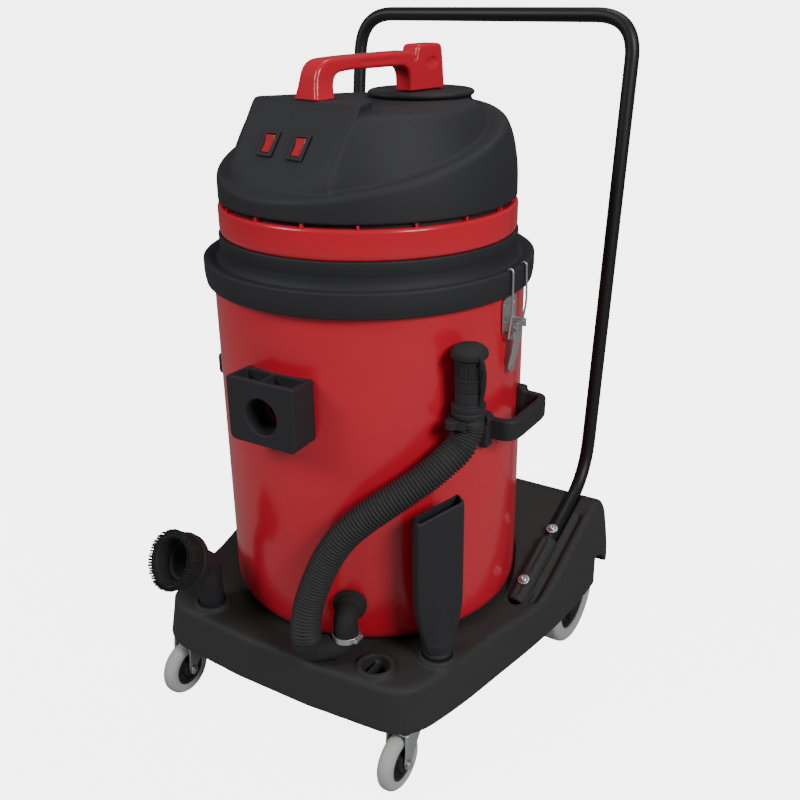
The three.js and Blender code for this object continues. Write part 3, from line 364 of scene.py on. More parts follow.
def felt():
    """Needle felt: matted fibres with a soft sheen."""
    made, tree, shader = principled("felt")
    place = add(tree, "ShaderNodeTexCoord").outputs["Object"]
    fibres = add(tree, "ShaderNodeTexNoise",
                 {"Vector": place, "Scale": 700.0, "Detail": 8.0, "Distortion": 2.5})
    plain = base_colour("felt")
    soiled = (*[c * 0.6 for c in plain[:3]], 1.0)
    tree.links.new(mix_colour(tree, fibres.outputs["Fac"], soiled, plain), shader.inputs["Base Color"])
    shader.inputs["Roughness"].default_value = 0.95
    shader.inputs["Sheen Weight"].default_value = 0.4
    bump(tree, shader, fibres.outputs["Fac"], 0.4)
    return made


SPECIAL = {
    "red_shell": red_shell,
    "hose": hose_plastic,
    "zinc": lambda: metal("zinc", 0.24, 0.16, (1.0, 1.0, 0.15)),
    "motor_case": lambda: metal("motor_case", 0.45, 0.15, (1.0, 1.0, 1.0)),
    "lit_red": lit_red,
    "felt": felt,
}


def finish_of(slot):
    """The material of one of the record's slots, made when first asked for."""
    found = bpy.data.materials.get(slot)
    if found:
        return found
    return SPECIAL[slot]() if slot in SPECIAL else plastic(slot)[0]


# ------------------------------------------------------------------ outlines and curves
def through(points, steps=6):
    """A smooth open curve through points of any dimension."""
    stops = [np.array(p, float) for p in points]
    stops = [2 * stops[0] - stops[1], *stops, 2 * stops[-1] - stops[-2]]
    found = []
    for a, b, c, d in zip(stops, stops[1:], stops[2:], stops[3:]):
        for i in range(steps):
            t = i / steps
            found.append(0.5 * (2 * b + (c - a) * t + (2 * a - 5 * b + 4 * c - d) * t ** 2
                                + (3 * b - a - 3 * c + d) * t ** 3))
    found.append(stops[-2])
    return [tuple(p) for p in found]


def rounded(corners, closed=True, steps=6):
    """Straight runs between corners, each with its reach last: how far from the corner its bend starts."""
    size = len(corners[0]) - 1
    places = [np.array(c[:size], float) for c in corners]
    found = []
    for i, corner in enumerate(corners):
        here, reach = places[i], corner[size]
        ends = not closed and i in (0, len(corners) - 1)
        if ends or not reach:
            found.append(tuple(here))
            continue
        back, ahead = places[i - 1] - here, places[(i + 1) % len(places)] - here
        reach = min(reach, np.linalg.norm(back) / 2, np.linalg.norm(ahead) / 2)
        start = here + back / np.linalg.norm(back) * reach
        end = here + ahead / np.linalg.norm(ahead) * reach
        for k in range(steps + 1):
            t = k / steps
            found.append(tuple((1 - t) ** 2 * start + 2 * t * (1 - t) * here + t ** 2 * end))
    return found


def evenly(path, spacing):
    """The same open path with points this far apart."""
    stops = np.array(path, float)
    run = np.concatenate([[0], np.cumsum(np.linalg.norm(np.diff(stops, axis=0), axis=1))])
    marks = np.linspace(0, run[-1], max(2, round(run[-1] / spacing) + 1))
    return np.stack([np.interp(marks, run, stops[:, k]) for k in range(stops.shape[1])], axis=1)


# ------------------------------------------------------------------ meshes
def mesh_object(name, points, faces):
    """A new object from vertices and faces, with its faces turned outwards."""
    mesh = bpy.data.meshes.new(name)
    mesh.from_pydata([tuple(p) for p in points], [], faces)
    work = bmesh.new()
    work.from_mesh(mesh)
    bmesh.ops.remove_doubles(work, verts=work.verts, dist=1e-3)
    bmesh.ops.recalc_face_normals(work, faces=work.faces)
    work.to_mesh(mesh)
    work.free()
    made = bpy.data.objects.new(name, mesh)
    bpy.context.scene.collection.objects.link(made)
    return made


def loft(name, rings, closed=False):
    """A skin over rings that have the same number of points; an open one is capped at both ends."""
    count = len(rings[0])
    points = [p for ring in rings for p in ring]
    faces = []
    for i in range(len(rings) if closed else len(rings) - 1):
        a, b = i * count, (i + 1) % len(rings) * count
        for k in range(count):
            n = (k + 1) % count
            faces.append((a + k, a + n, b + n, b + k))
    if not closed:
        faces += [tuple(range(count)), tuple(range(len(points) - count, len(points)))]
    return mesh_object(name, points, faces)


def brick_object(name, lowest, highest):
    """A plain block as a mesh, for cutting or joining."""
    (x0, y0, z0), (x1, y1, z1) = lowest, highest
    rings = [[(x0, y0, z), (x1, y0, z), (x1, y1, z), (x0, y1, z)] for z in (z0, z1)]
    return loft(name, rings)


def lathe(name, outline, sides=160, ring=False):
    """A piece turned about Z, from (radius, height) pairs; a ring's outline closes on itself."""
    angles = [2 * math.pi * k / sides for k in range(sides)]
    rings = [[(r * math.cos(a), r * math.sin(a), z) for a in angles] for r, z in outline]
    if ring:
        return loft(name, rings, closed=True)
    faces = []
    for i in range(len(rings) - 1):
        a, b = i * sides, (i + 1) * sides
        faces += [(a + k, a + (k + 1) % sides, b + (k + 1) % sides, b + k) for k in range(sides)]
    return mesh_object(name, [p for r in rings for p in r], faces)


def frames_along(path):
    """Two unit vectors across an open path at each of its points, without twist."""
    path = np.array(path, float)
    ahead = np.gradient(path, axis=0)
    ahead /= np.linalg.norm(ahead, axis=1)[:, None]
    start = np.array([0, 0, 1.0]) if abs(ahead[0][2]) < 0.9 else np.array([1.0, 0, 0])
    side = np.cross(ahead[0], start)
    sides = []
    for direction in ahead:
        side = side - direction * side.dot(direction)
        side = side / np.linalg.norm(side)
        sides.append(side)
    sides = np.array(sides)
    return sides, np.cross(ahead, sides)


def tube(name, path, radii, sides=24):
    """A round bar along a path, with one radius or one for each point."""
    path = np.array(path, float)
    radii = np.broadcast_to(radii, len(path))
    across, up = frames_along(path)
    angles = np.linspace(0, 2 * np.pi, sides, endpoint=False)
    rings = [p + r * (np.outer(np.cos(angles), a) + np.outer(np.sin(angles), u))
             for p, r, a, u in zip(path, radii, across, up)]
    return loft(name, rings)


def join_meshes(name, parts):
    """Several objects as one."""
    work = bmesh.new()
    for part in parts:
        work.from_mesh(part.data)
        bpy.data.objects.remove(part)
    mesh = bpy.data.meshes.new(name)
    work.to_mesh(mesh)
    work.free()
    made = bpy.data.objects.new(name, mesh)
    bpy.context.scene.collection.objects.link(made)
    return made


def carved(target, *cutters, operation="DIFFERENCE"):
    """The target with the cutters taken away, or joined on."""
    for cutter in cutters:
        step = target.modifiers.new("Carve", "BOOLEAN")
        step.object = cutter
        step.operation = operation
        step.solver = "MANIFOLD"
    seen = target.evaluated_get(bpy.context.evaluated_depsgraph_get())
    mesh = bpy.data.meshes.new_from_object(seen)
    target.modifiers.clear()
    target.data = mesh
    for cutter in cutters:
        bpy.data.objects.remove(cutter)
    return target


# ------------------------------------------------------------------ shapes given by their distance
def melt(a, b, k):
    """Two shapes joined, with a fillet of about k."""
    h = np.clip(0.5 + 0.5 * (b - a) / k, 0, 1)
    return b + (a - b) * h - k * h * (1 - h)


def both(a, b, k):
    """What two shapes share, with edges rounded by about k."""
    return -melt(-a, -b, k)


def less(a, b, k):
    """The first shape without the second, with edges rounded by about k."""
    return -melt(-a, b, k)


def outline_distance(u, v, outline):
    """Signed distance in a plane to a closed outline, negative inside."""
    u, v = np.broadcast_arrays(np.asarray(u, np.float32), np.asarray(v, np.float32))
    nearest = np.full(u.shape, np.float32(1e12))
    inside = np.zeros(u.shape, bool)
    for (au, av), (bu, bv) in zip(outline, [*outline[1:], outline[0]]):
        eu, ev = bu - au, bv - av
        span = eu * eu + ev * ev
        if span < 1e-12:
            continue
        t = np.clip(((u - au) * eu + (v - av) * ev) / span, 0, 1)
        nearest = np.minimum(nearest, (u - au - t * eu) ** 2 + (v - av - t * ev) ** 2)
        crosses = (av > v) != (bv > v)
        if ev:
            inside ^= crosses & (u < eu * (v - av) / ev + au)
    return np.where(inside, -1, 1) * np.sqrt(nearest)


def brick(x, y, z, lowest, highest, edge=2.0):
    """A block with rounded edges."""
    gaps = [abs(p - (a + b) / 2) - ((b - a) / 2 - edge) for p, a, b in zip((x, y, z), lowest, highest)]
    outside = np.sqrt(sum(np.maximum(g, 0) ** 2 for g in gaps))
    return outside + np.minimum(np.maximum(np.maximum(gaps[0], gaps[1]), gaps[2]), 0) - edge


def pin(x, y, z, start, end, radius, edge=1.0, end_radius=None):
    """A round bar or cone with flat ends."""
    start, end = np.array(start, float), np.array(end, float)
    reach = np.linalg.norm(end - start)
    ahead = (end - start) / reach
    along = (x - start[0]) * ahead[0] + (y - start[1]) * ahead[1] + (z - start[2]) * ahead[2]
    squared = (x - start[0]) ** 2 + (y - start[1]) ** 2 + (z - start[2]) ** 2 - along ** 2
    apart = np.sqrt(np.maximum(squared, 0))
    grown = radius if end_radius is None else radius + (end_radius - radius) * along / reach
    return both(apart - grown, np.maximum(-along, along - reach), edge)


def rope(x, y, z, path, radius):
    """A round bar with round ends along a path of straight runs."""
    nearest = np.float32(1e12)
    for a, b in zip(path, path[1:]):
        a, run = np.array(a, float), np.array(b, float) - np.array(a, float)
        if not run.any():
            continue
        t = np.clip(((x - a[0]) * run[0] + (y - a[1]) * run[1] + (z - a[2]) * run[2]) / run.dot(run), 0, 1)
        nearest = np.minimum(nearest, (x - a[0] - t * run[0]) ** 2 + (y - a[1] - t * run[1]) ** 2
                             + (z - a[2] - t * run[2]) ** 2)
    return np.sqrt(nearest) - radius


def moulded(name, distance, lowest, highest, voxel):
    """A closed skin where distance(x, y, z) is nought, between two corners, on a grid of voxel metres."""
    step = voxel / MM
    margin = 3
    starts = [a - margin * step for a in lowest]
    counts = [int((b - a) / step) + 2 * margin + 1 for a, b in zip(lowest, highest)]
    axes = [np.float32(s) + np.arange(n, dtype=np.float32) * np.float32(step) for s, n in zip(starts, counts)]
    x, y, z = axes[0][:, None, None], axes[1][None, :, None], axes[2][None, None, :]
    field = np.broadcast_to(distance(x, y, z), counts).astype(np.float32)
    grid = openvdb.FloatGrid(margin * step)
    grid.copyFromArray(np.ascontiguousarray(np.clip(field, -margin * step, margin * step)))
    points, triangles, quads = grid.convertToPolygons(isovalue=0.0, adaptivity=0.0)
    points = points * step + np.array(starts)
    faces = [tuple(map(int, f)) for f in triangles] + [tuple(map(int, f)) for f in quads]
    return mesh_object(name, points, faces)


def settle(made, body, slot, *replaced, matrix=IN_FRAME, crisp=38):
    """Sets a piece shaped in millimetres into the frame, on its body, with its finish."""
    made.data.transform(matrix)
    made.data.materials.clear()
    made.data.materials.append(finish_of(slot))
    made.data.shade_smooth()
    made.data.set_sharp_from_angle(angle=math.radians(crisp))
    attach(made, body)
    if replaced:
        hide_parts(*replaced)
    return made


def facing(x, y, z, ahead):
    """A matrix that carries +Z to this direction and the origin to this point."""
    turn = Vector((0, 0, 1)).rotation_difference(Vector(ahead)).to_matrix().to_4x4()
    return Matrix.Translation((x, y, z)) @ turn


def rib_ring(name, outline, count, depth, sides):
    """A lathe whose radius rises and falls this many times round."""
    angles = [2 * math.pi * k / sides for k in range(sides)]
    waves = [depth * math.cos(count * a) for a in angles]
    rings = [[((r + d * w) * math.cos(a), (r + d * w) * math.sin(a), z) for a, w in zip(angles, waves)]
             for r, z, d in outline]
    return loft(name, rings)


# ------------------------------------------------------------------ stage
CAMERA_AZIMUTH = math.radians(32.02)
CAMERA_ELEVATION = math.radians(23.03)
CAMERA_ROLL = math.radians(-0.678)
CAMERA_PLACE = (0.7541, -1.1292 + AXIS_Y, 1.0208)
CAMERA_LENS = 43.83


def add_camera():
    """A camera that looks down at the front and the right side."""
    data = bpy.data.cameras.new("camera")
    data.lens = CAMERA_LENS
    data.sensor_width = 36
    made = bpy.data.objects.new("camera", data)
    bpy.context.scene.collection.objects.link(made)
    a, e, r = CAMERA_AZIMUTH, CAMERA_ELEVATION, CAMERA_ROLL
    back = Vector((math.sin(a) * math.cos(e), -math.cos(a) * math.cos(e), math.sin(e)))
    right = Vector((0, 0, 1)).cross(back).normalized()
    up = back.cross(right)
    right, up = math.cos(r) * right + math.sin(r) * up, math.cos(r) * up - math.sin(r) * right
    made.matrix_world = Matrix.Translation(CAMERA_PLACE) @ Matrix((right, up, back)).transposed().to_4x4()
    bpy.context.scene.camera = made


def add_light(name, place, aim, size, power, tint=(1, 1, 1)):
    """A square soft box that faces a point."""
    data = bpy.data.lights.new(name, "AREA")
    data.size, data.energy, data.color = size, power, tint
    made = bpy.data.objects.new(name, data)
    bpy.context.scene.collection.objects.link(made)
    made.location = place
    made.rotation_euler = (Vector(aim) - Vector(place)).to_track_quat("-Z", "Y").to_euler()


class VACUUM_OT_stage(bpy.types.Operator):
    """Camera, soft boxes, pale floor and the light all round"""
    bl_idname = "vacuum.stage"
    bl_label = "Stage"

    def execute(self, context):
        add_camera()
        middle = (0, 0, 0.45)
        add_light("key_light", (-1.5, -2.2, 2.4), middle, 1.1, 40)
        add_light("side_light", (2.2, -0.9, 1.9), middle, 0.8, 42)
        add_light("top_light", (0.3, 0.5, 2.8), middle, 1.0, 14)
        world = bpy.data.worlds.new("studio")
        context.scene.world = world
        world.use_nodes = True
        sky = world.node_tree.nodes["Background"]
        sky.inputs["Color"].default_value = (1, 1, 1, 1)
        seen = add(world.node_tree, "ShaderNodeLightPath").outputs["Is Camera Ray"]
        world.node_tree.links.new(spread(world.node_tree, seen, 0.0, 1.0, 0.12, 5.0), sky.inputs["Strength"])
        span = 14.0
        mesh = bpy.data.meshes.new("floor")
        corners = [(-span, -span, 0), (span, -span, 0), (span, span, 0), (-span, span, 0)]
        mesh.from_pydata(corners, [], [(0, 1, 2, 3)])
        floor = bpy.data.objects.new("floor", mesh)
        context.scene.collection.objects.link(floor)
        made, tree, shader = principled("floor")
        shader.inputs["Base Color"].default_value = base_colour("floor")
        shader.inputs["Roughness"].default_value = 0.8
        shader.inputs["Specular IOR Level"].default_value = 0.1
        shader.inputs["Emission Color"].default_value = (1, 1, 1, 1)
        seen = add(tree, "ShaderNodeLightPath").outputs["Is Camera Ray"]
        tree.links.new(spread(tree, seen, 0.0, 1.0, 0.0, 5.0), shader.inputs["Emission Strength"])
        mesh.materials.append(made)
        return {"FINISHED"}


# ------------------------------------------------------------------ drain hose and what it hangs from
HOSE_R = 21
CUFF_LENGTH = 34
CAP_LENGTH = 62
HOSE_FOOT = (60, -268, 206)
HOSE_TOP = (221, -111, 512)
HOSE_ROUTE = [
    HOSE_FOOT, (60, -268, 222), (61, -264, 243), (65, -256, 269), (73, -247, 298), (85, -238, 328),
    (103, -228, 357), (125, -215, 381), (149, -199, 402), (171, -181, 420), (190, -162, 437),
    (206, -143, 455), (217, -123, 472), (221, -111, 494), HOSE_TOP,
]
HOSE_OUTWARD = Vector((HOSE_TOP[0], HOSE_TOP[1], 0)).normalized()
HOSE_SIDEWAYS = Vector((-HOSE_OUTWARD.y, HOSE_OUTWARD.x, 0))
DRAIN_Z = 229
DRAIN_ANGLE = math.radians(23.6)
ELBOW_R = 17
SPOUT_OUT = TANK_R + 34


def drain_at(radius, z):
    """A point on the drain's own radius from the tank's axis."""
    return (radius * math.sin(DRAIN_ANGLE), -radius * math.cos(DRAIN_ANGLE), z)


def elbow_course():
    """The pipe's course out of the tank, down and up again."""
    (x, y, z), (sx, sy, _) = HOSE_FOOT, drain_at(SPOUT_OUT, 0)
    lowest = DECK_Z + ELBOW_R + 5
    return rounded([(*drain_at(TANK_R + 6, DRAIN_Z), 0), (sx, sy, DRAIN_Z, 21), (sx, sy, lowest, 21),
                    (x, y, lowest, 21), (x, y, z - 4, 0)], closed=False, steps=8)


def off_tank(x, y):
    """Distance outside the tank's skin, with the usual gap to it."""
    return np.sqrt(x ** 2 + y ** 2) - TANK_R - GAP


def add_hose(sizes):
    """The ribbed hose and the course that it follows."""
    rib_points = 8
    course = evenly(through(HOSE_ROUTE, 16), sizes.hose_pitch / MM / rib_points)
    turn = np.arange(len(course)) / rib_points * 2 * np.pi
    ribs = np.clip(0.5 + 0.9 * np.cos(turn), 0, 1) * sizes.hose_rib / MM
    hose = tube("drain_hose_ribbed", course, HOSE_R - sizes.hose_rib / MM + ribs, 40)
    settle(hose, "chassis", "hose", "drain_hose", crisp=80)
    return hose, course


def add_cuff():
    """The cuff on the hose's upper end."""
    x, y, z = HOSE_TOP
    foot = z + GAP
    full, waist, bore, end = HOSE_R + 1.5, HOSE_R + 0.6, HOSE_R - 6, foot + CUFF_LENGTH
    cuff = lathe("hose_cuff_turned", rounded([
        (bore, foot, 0.8), (full, foot, 1.6), (full, foot + 6, 0.8), (waist, foot + 7, 0.5),
        (waist, foot + 9, 0.5), (full, foot + 10, 0.8), (full, foot + 16, 1.4), (HOSE_R - 3, foot + 17, 1.2),
        (HOSE_R - 3, end, 1.2), (bore, end, 0.8)]), 72, ring=True)
    cuff.data.transform(Matrix.Translation((x, y, 0)))
    return settle(cuff, "chassis", "black_shell", "hose_cuff")


def add_drain_cap():
    """The cap in the cuff, with its finger grips and its strap."""
    x, y, z = HOSE_TOP
    start = z + GAP + CUFF_LENGTH + GAP
    end = start + CAP_LENGTH
    body = lathe("cap_body", rounded([
        (0, start, 0), (18, start, 1.5), (18, start + 15, 1), (19, start + 16, 0.6),
        (19, start + 18.5, 0.6), (18, start + 19.5, 1), (18, start + 38, 1), (19, start + 39, 0.6),
        (19, start + 40.5, 0.6), (18, start + 41.5, 1), (18.5, end - 18, 2), (23.6, end - 17, 3),
        (24.6, end - 9, 8), (17, end - 1, 12), (0, end, 0)], closed=False), 72)
    grips, grip_count = [], 12
    for k in range(grip_count):
        grip = brick_object("grip", (-1.1, -1.6, start + 20), (1.1, 1.6, start + 37.6))
        spin = Matrix.Rotation(2 * math.pi * k / grip_count, 4, "Z")
        grip.data.transform(spin @ Matrix.Translation((18.2, 0, 0)))
        grips.append(grip)
    cap = join_meshes("cap_and_grips", [body, *grips])
    cap.data.transform(Matrix.Translation((x, y, 0)))

    hook = Vector((x, y, 0)) + HOSE_OUTWARD * 21
    # Each stop of the strap: how far outward from the hook, how far sideways and how far below the cap's top.
    stops = ((-3, 0, 9), (4, 0, 12), (7, 3, 30), (4, 5, 52), (-1.5, 5, 74), (-2.5, 4, 84))
    course = through([hook + HOSE_OUTWARD * out + HOSE_SIDEWAYS * across + Vector((0, 0, end - down))
                      for out, across, down in stops], 8)
    strap = tube("strap", course, 2.8, 14)
    return settle(join_meshes("drain_cap_moulded", [cap, strap]), "chassis", "black_rubber", "drain_cap")


def add_elbow(sizes, course):
    """The rubber elbow with its flange and nut on the tank and its collar round the hose."""
    fx, fy, fz = HOSE_FOOT
    mouth = fz - GAP

    def distance(x, y, z):
        pipe = rope(x, y, z, course, ELBOW_R)
        pipe = less(pipe, pin(x, y, z, (fx, fy, mouth), (fx, fy, fz + 30), ELBOW_R + 6, 0.3), 0.6)
        collar = pin(x, y, z, (fx, fy, 190), (fx, fy, mouth), ELBOW_R + 3.5, 1.5)
        flange = pin(x, y, z, drain_at(TANK_R - 6, DRAIN_Z), drain_at(TANK_R + 8, DRAIN_Z), 24, 2.5)
        nut = pin(x, y, z, drain_at(TANK_R, DRAIN_Z), drain_at(TANK_R + 15, DRAIN_Z), 20, 3)
        outside = less(melt(melt(melt(pipe, flange, 3), nut, 3), collar, 2), off_tank(x, y), 0.6)
        spigot = pin(x, y, z, drain_at(TANK_R - 12, DRAIN_Z), drain_at(TANK_R + 4, DRAIN_Z), 12.8, 1)
        return melt(outside, spigot, 0.6)

    elbow = moulded("drain_elbow_moulded", distance, (34, -292, 160), (132, -188, 258), sizes.fitting_voxel)
    settle(elbow, "chassis", "black_rubber", "drain_elbow")


def add_clamp(sizes, course):
    """The band clamp round the elbow's upright, with its screw."""
    cx, cy, _ = drain_at(SPOUT_OUT, 0)
    screw_x, screw_z = cx + ELBOW_R + 3, DECK_Z + 39.5

    def distance(x, y, z):
        band = pin(x, y, z, (cx, cy, DECK_Z + 35), (cx, cy, DECK_Z + 44), ELBOW_R + 2.6, 0.5)
        screw = pin(x, y, z, (screw_x, cy - 8, screw_z), (screw_x, cy + 8, screw_z), 3.5, 0.5)
        return less(melt(band, screw, 0.5), rope(x, y, z, course, ELBOW_R + 0.5), 0.3)

    clamp = moulded("drain_clamp_band", distance, (cx - 24, cy - 24, DECK_Z + 32),
                    (cx + 28, cy + 24, DECK_Z + 48), sizes.fitting_voxel * 0.6)
    settle(clamp, "chassis", "zinc", "drain_clamp")


def add_clip(sizes):
    """The spring clip on the tank that the hose's end snaps into."""
    cx, cy, top = HOSE_TOP
    foot, tall = top - 13, 12
    ear_at = (cx - HOSE_SIDEWAYS.x * 27, cy - HOSE_SIDEWAYS.y * 27)

    def distance(x, y, z):
        apart = np.sqrt((x - cx) ** 2 + (y - cy) ** 2)
        levels = np.maximum(foot - z, z - foot - tall)
        ring = both(np.abs(apart - HOSE_R - 2.9) - 1.7, levels, 0.8)
        mouth = np.sqrt((x - cx - HOSE_OUTWARD.x * 24) ** 2 + (y - cy - HOSE_OUTWARD.y * 24) ** 2) - 18
        ring = less(ring, mouth, 1)
        ear = pin(x, y, z, (*ear_at, foot), (*ear_at, foot + tall), 8, 1.5)
        across = (x - cx) * HOSE_SIDEWAYS.x + (y - cy) * HOSE_SIDEWAYS.y
        inward = -((x - cx) * HOSE_OUTWARD.x + (y - cy) * HOSE_OUTWARD.y)
        stem = np.maximum(np.maximum(np.abs(across) - 12, levels), np.maximum(18 - inward, inward - 40))
        whole = melt(melt(ring, ear, 2), stem, 2)
        whole = less(whole, apart - HOSE_R - 0.9, 0.6)
        return less(whole, off_tank(x, y), 0.5)

    clip = moulded("hose_clip_moulded", distance, (cx - 50, cy - 50, foot - 3), (cx + 40, cy + 50, foot + 15),
                   sizes.fitting_voxel * 0.8)
    settle(clip, "chassis", "black_shell", "hose_clip")


class VACUUM_OT_drain(bpy.types.Operator):
    """Drain elbow, clamp, ribbed hose, cuff, cap with its strap, and the clip on the tank"""
    bl_idname = "vacuum.drain"
    bl_label = "Drain hose"

    def execute(self, context):
        sizes = context.scene.vacuum_sizes
        hose, course = add_hose(sizes)
        cuff = add_cuff()
        cap = add_drain_cap()
        pipe = elbow_course()
        add_elbow(sizes, pipe)
        add_clamp(sizes, pipe)
        add_clip(sizes)
        return {"FINISHED"}


# ------------------------------------------------------------------ tank
INLET_Z = 515
INLET_BORE = 25


class VACUUM_OT_tank(bpy.types.Operator):
    """Tank shell with its rim, floor and two ports"""
    bl_idname = "vacuum.tank"
    bl_label = "Tank"

    def execute(self, context):
        wall, corner = 4, 24
        outline = rounded([
            (0, TANK_FLOOR, 0), (TANK_R, TANK_FLOOR, corner), (TANK_R, RIM_Z - 26, 1.5),
            (TANK_R, RIM_Z, 1.5), (TANK_R - wall, RIM_Z, 1.5),
            (TANK_R - wall, TANK_FLOOR + wall, corner - wall), (0, TANK_FLOOR + wall, 0)],
            closed=False, steps=10)
        shell = lathe("tank_shell", outline, 240)
        inlet = tube("inlet_cut", [(0, -TANK_R - 9, INLET_Z), (0, -TANK_R, INLET_Z),
                                   (0, -TANK_R + 40, INLET_Z)], INLET_BORE - 3, 64)
        drain = tube("drain_cut", [drain_at(TANK_R + 9, DRAIN_Z), drain_at(TANK_R, DRAIN_Z),
                                   drain_at(TANK_R - 40, DRAIN_Z)], 13.4, 48)
        settle(carved(shell, inlet, drain), "chassis", "red_shell", "tank")
        return {"FINISHED"}


class VACUUM_OT_inlet(bpy.types.Operator):
    """Hose inlet block on the front of the tank"""
    bl_idname = "vacuum.inlet"
    bl_label = "Inlet block"

    def execute(self, context):
        half, front, bottom, top = 54, -TANK_R - 40, INLET_Z - 41, INLET_Z + 49

        def distance(x, y, z):
            face = outline_distance(x, z, rounded([
                (-half, bottom, 11), (half, bottom, 11), (half, top, 5), (-half, top, 5)]))
            body = both(face + 0.03 * (y - front), front - y, 2.2)
            pocket = brick(x, y, z, (-half + 6.5, front + 6.5, INLET_Z + 30),
                           (half - 6.5, -TANK_R - 4, top + 20), 3)
            rib = brick(x, y, z, (-8, front, INLET_Z + 20), (-3.5, -200, top - 3), 1)
            body = less(body, less(pocket, rib, 1), 1.2)
            radial = np.sqrt(x ** 2 + (z - INLET_Z) ** 2)
            body = less(body, radial - INLET_BORE, 2.5)
            return less(body, off_tank(x, y), 0.5)

        made = moulded("inlet_block_moulded", distance, (-half - 2, front - 2, bottom - 2),
                       (half + 2, -205, top + 2), context.scene.vacuum_sizes.fitting_voxel)
        settle(made, "chassis", "black_shell", "inlet_block")
        return {"FINISHED"}


GRIP_Z = 474


class VACUUM_OT_tank_handles(bpy.types.Operator):
    """The two D-shaped side handles"""
    bl_idname = "vacuum.tank_handles"
    bl_label = "Tank handles"

    def execute(self, context):
        arm = 56
        path = rounded([(206, -arm, 0), (252, -arm + 3, 16), (256.5, -arm + 20, 10), (256.5, arm - 20, 10),
                        (252, arm - 3, 16), (206, arm, 0)], closed=False, steps=8)

        def distance(x, y, z):
            flat = np.abs(z - GRIP_Z + 1) - 15
            reach = rope(x, y, 0 * z, [(px, py, 0) for px, py in path], 6.3)
            loop = both(reach, flat, 4.5)
            pads = melt(*(brick(x, y, z, (206, side * arm - 9, GRIP_Z - 30),
                                (225, side * arm + 9, GRIP_Z + 20), 3.5) for side in (-1, 1)), 1)
            grooves = np.abs(np.mod(y + 3.5, 7) - 3.5) - 1.0
            inner = np.maximum(np.maximum(grooves, np.abs(y) - 30), x - 251.2)
            whole = less(melt(loop, pads, 5), np.maximum(inner, 248 - x), 0.6)
            return less(whole, off_tank(x, y), 0.5)

        for name, side in RIGHT_AND_LEFT:
            made = moulded(f"tank_handle_{name}_moulded", distance, (204, -70, GRIP_Z - 32),
                           (266, 70, GRIP_Z + 22), context.scene.vacuum_sizes.fitting_voxel)
            if side < 0:
                made.data.transform(Matrix.Rotation(math.pi, 4, "Z"))
            settle(made, "chassis", "black_shell", f"tank_handle_{name}")
        return {"FINISHED"}


LATCH_Z = 604
LEVER_X = 236
BAIL_X = 229
BAIL_Z = LATCH_Z - 16
LEVER_HALF = 12


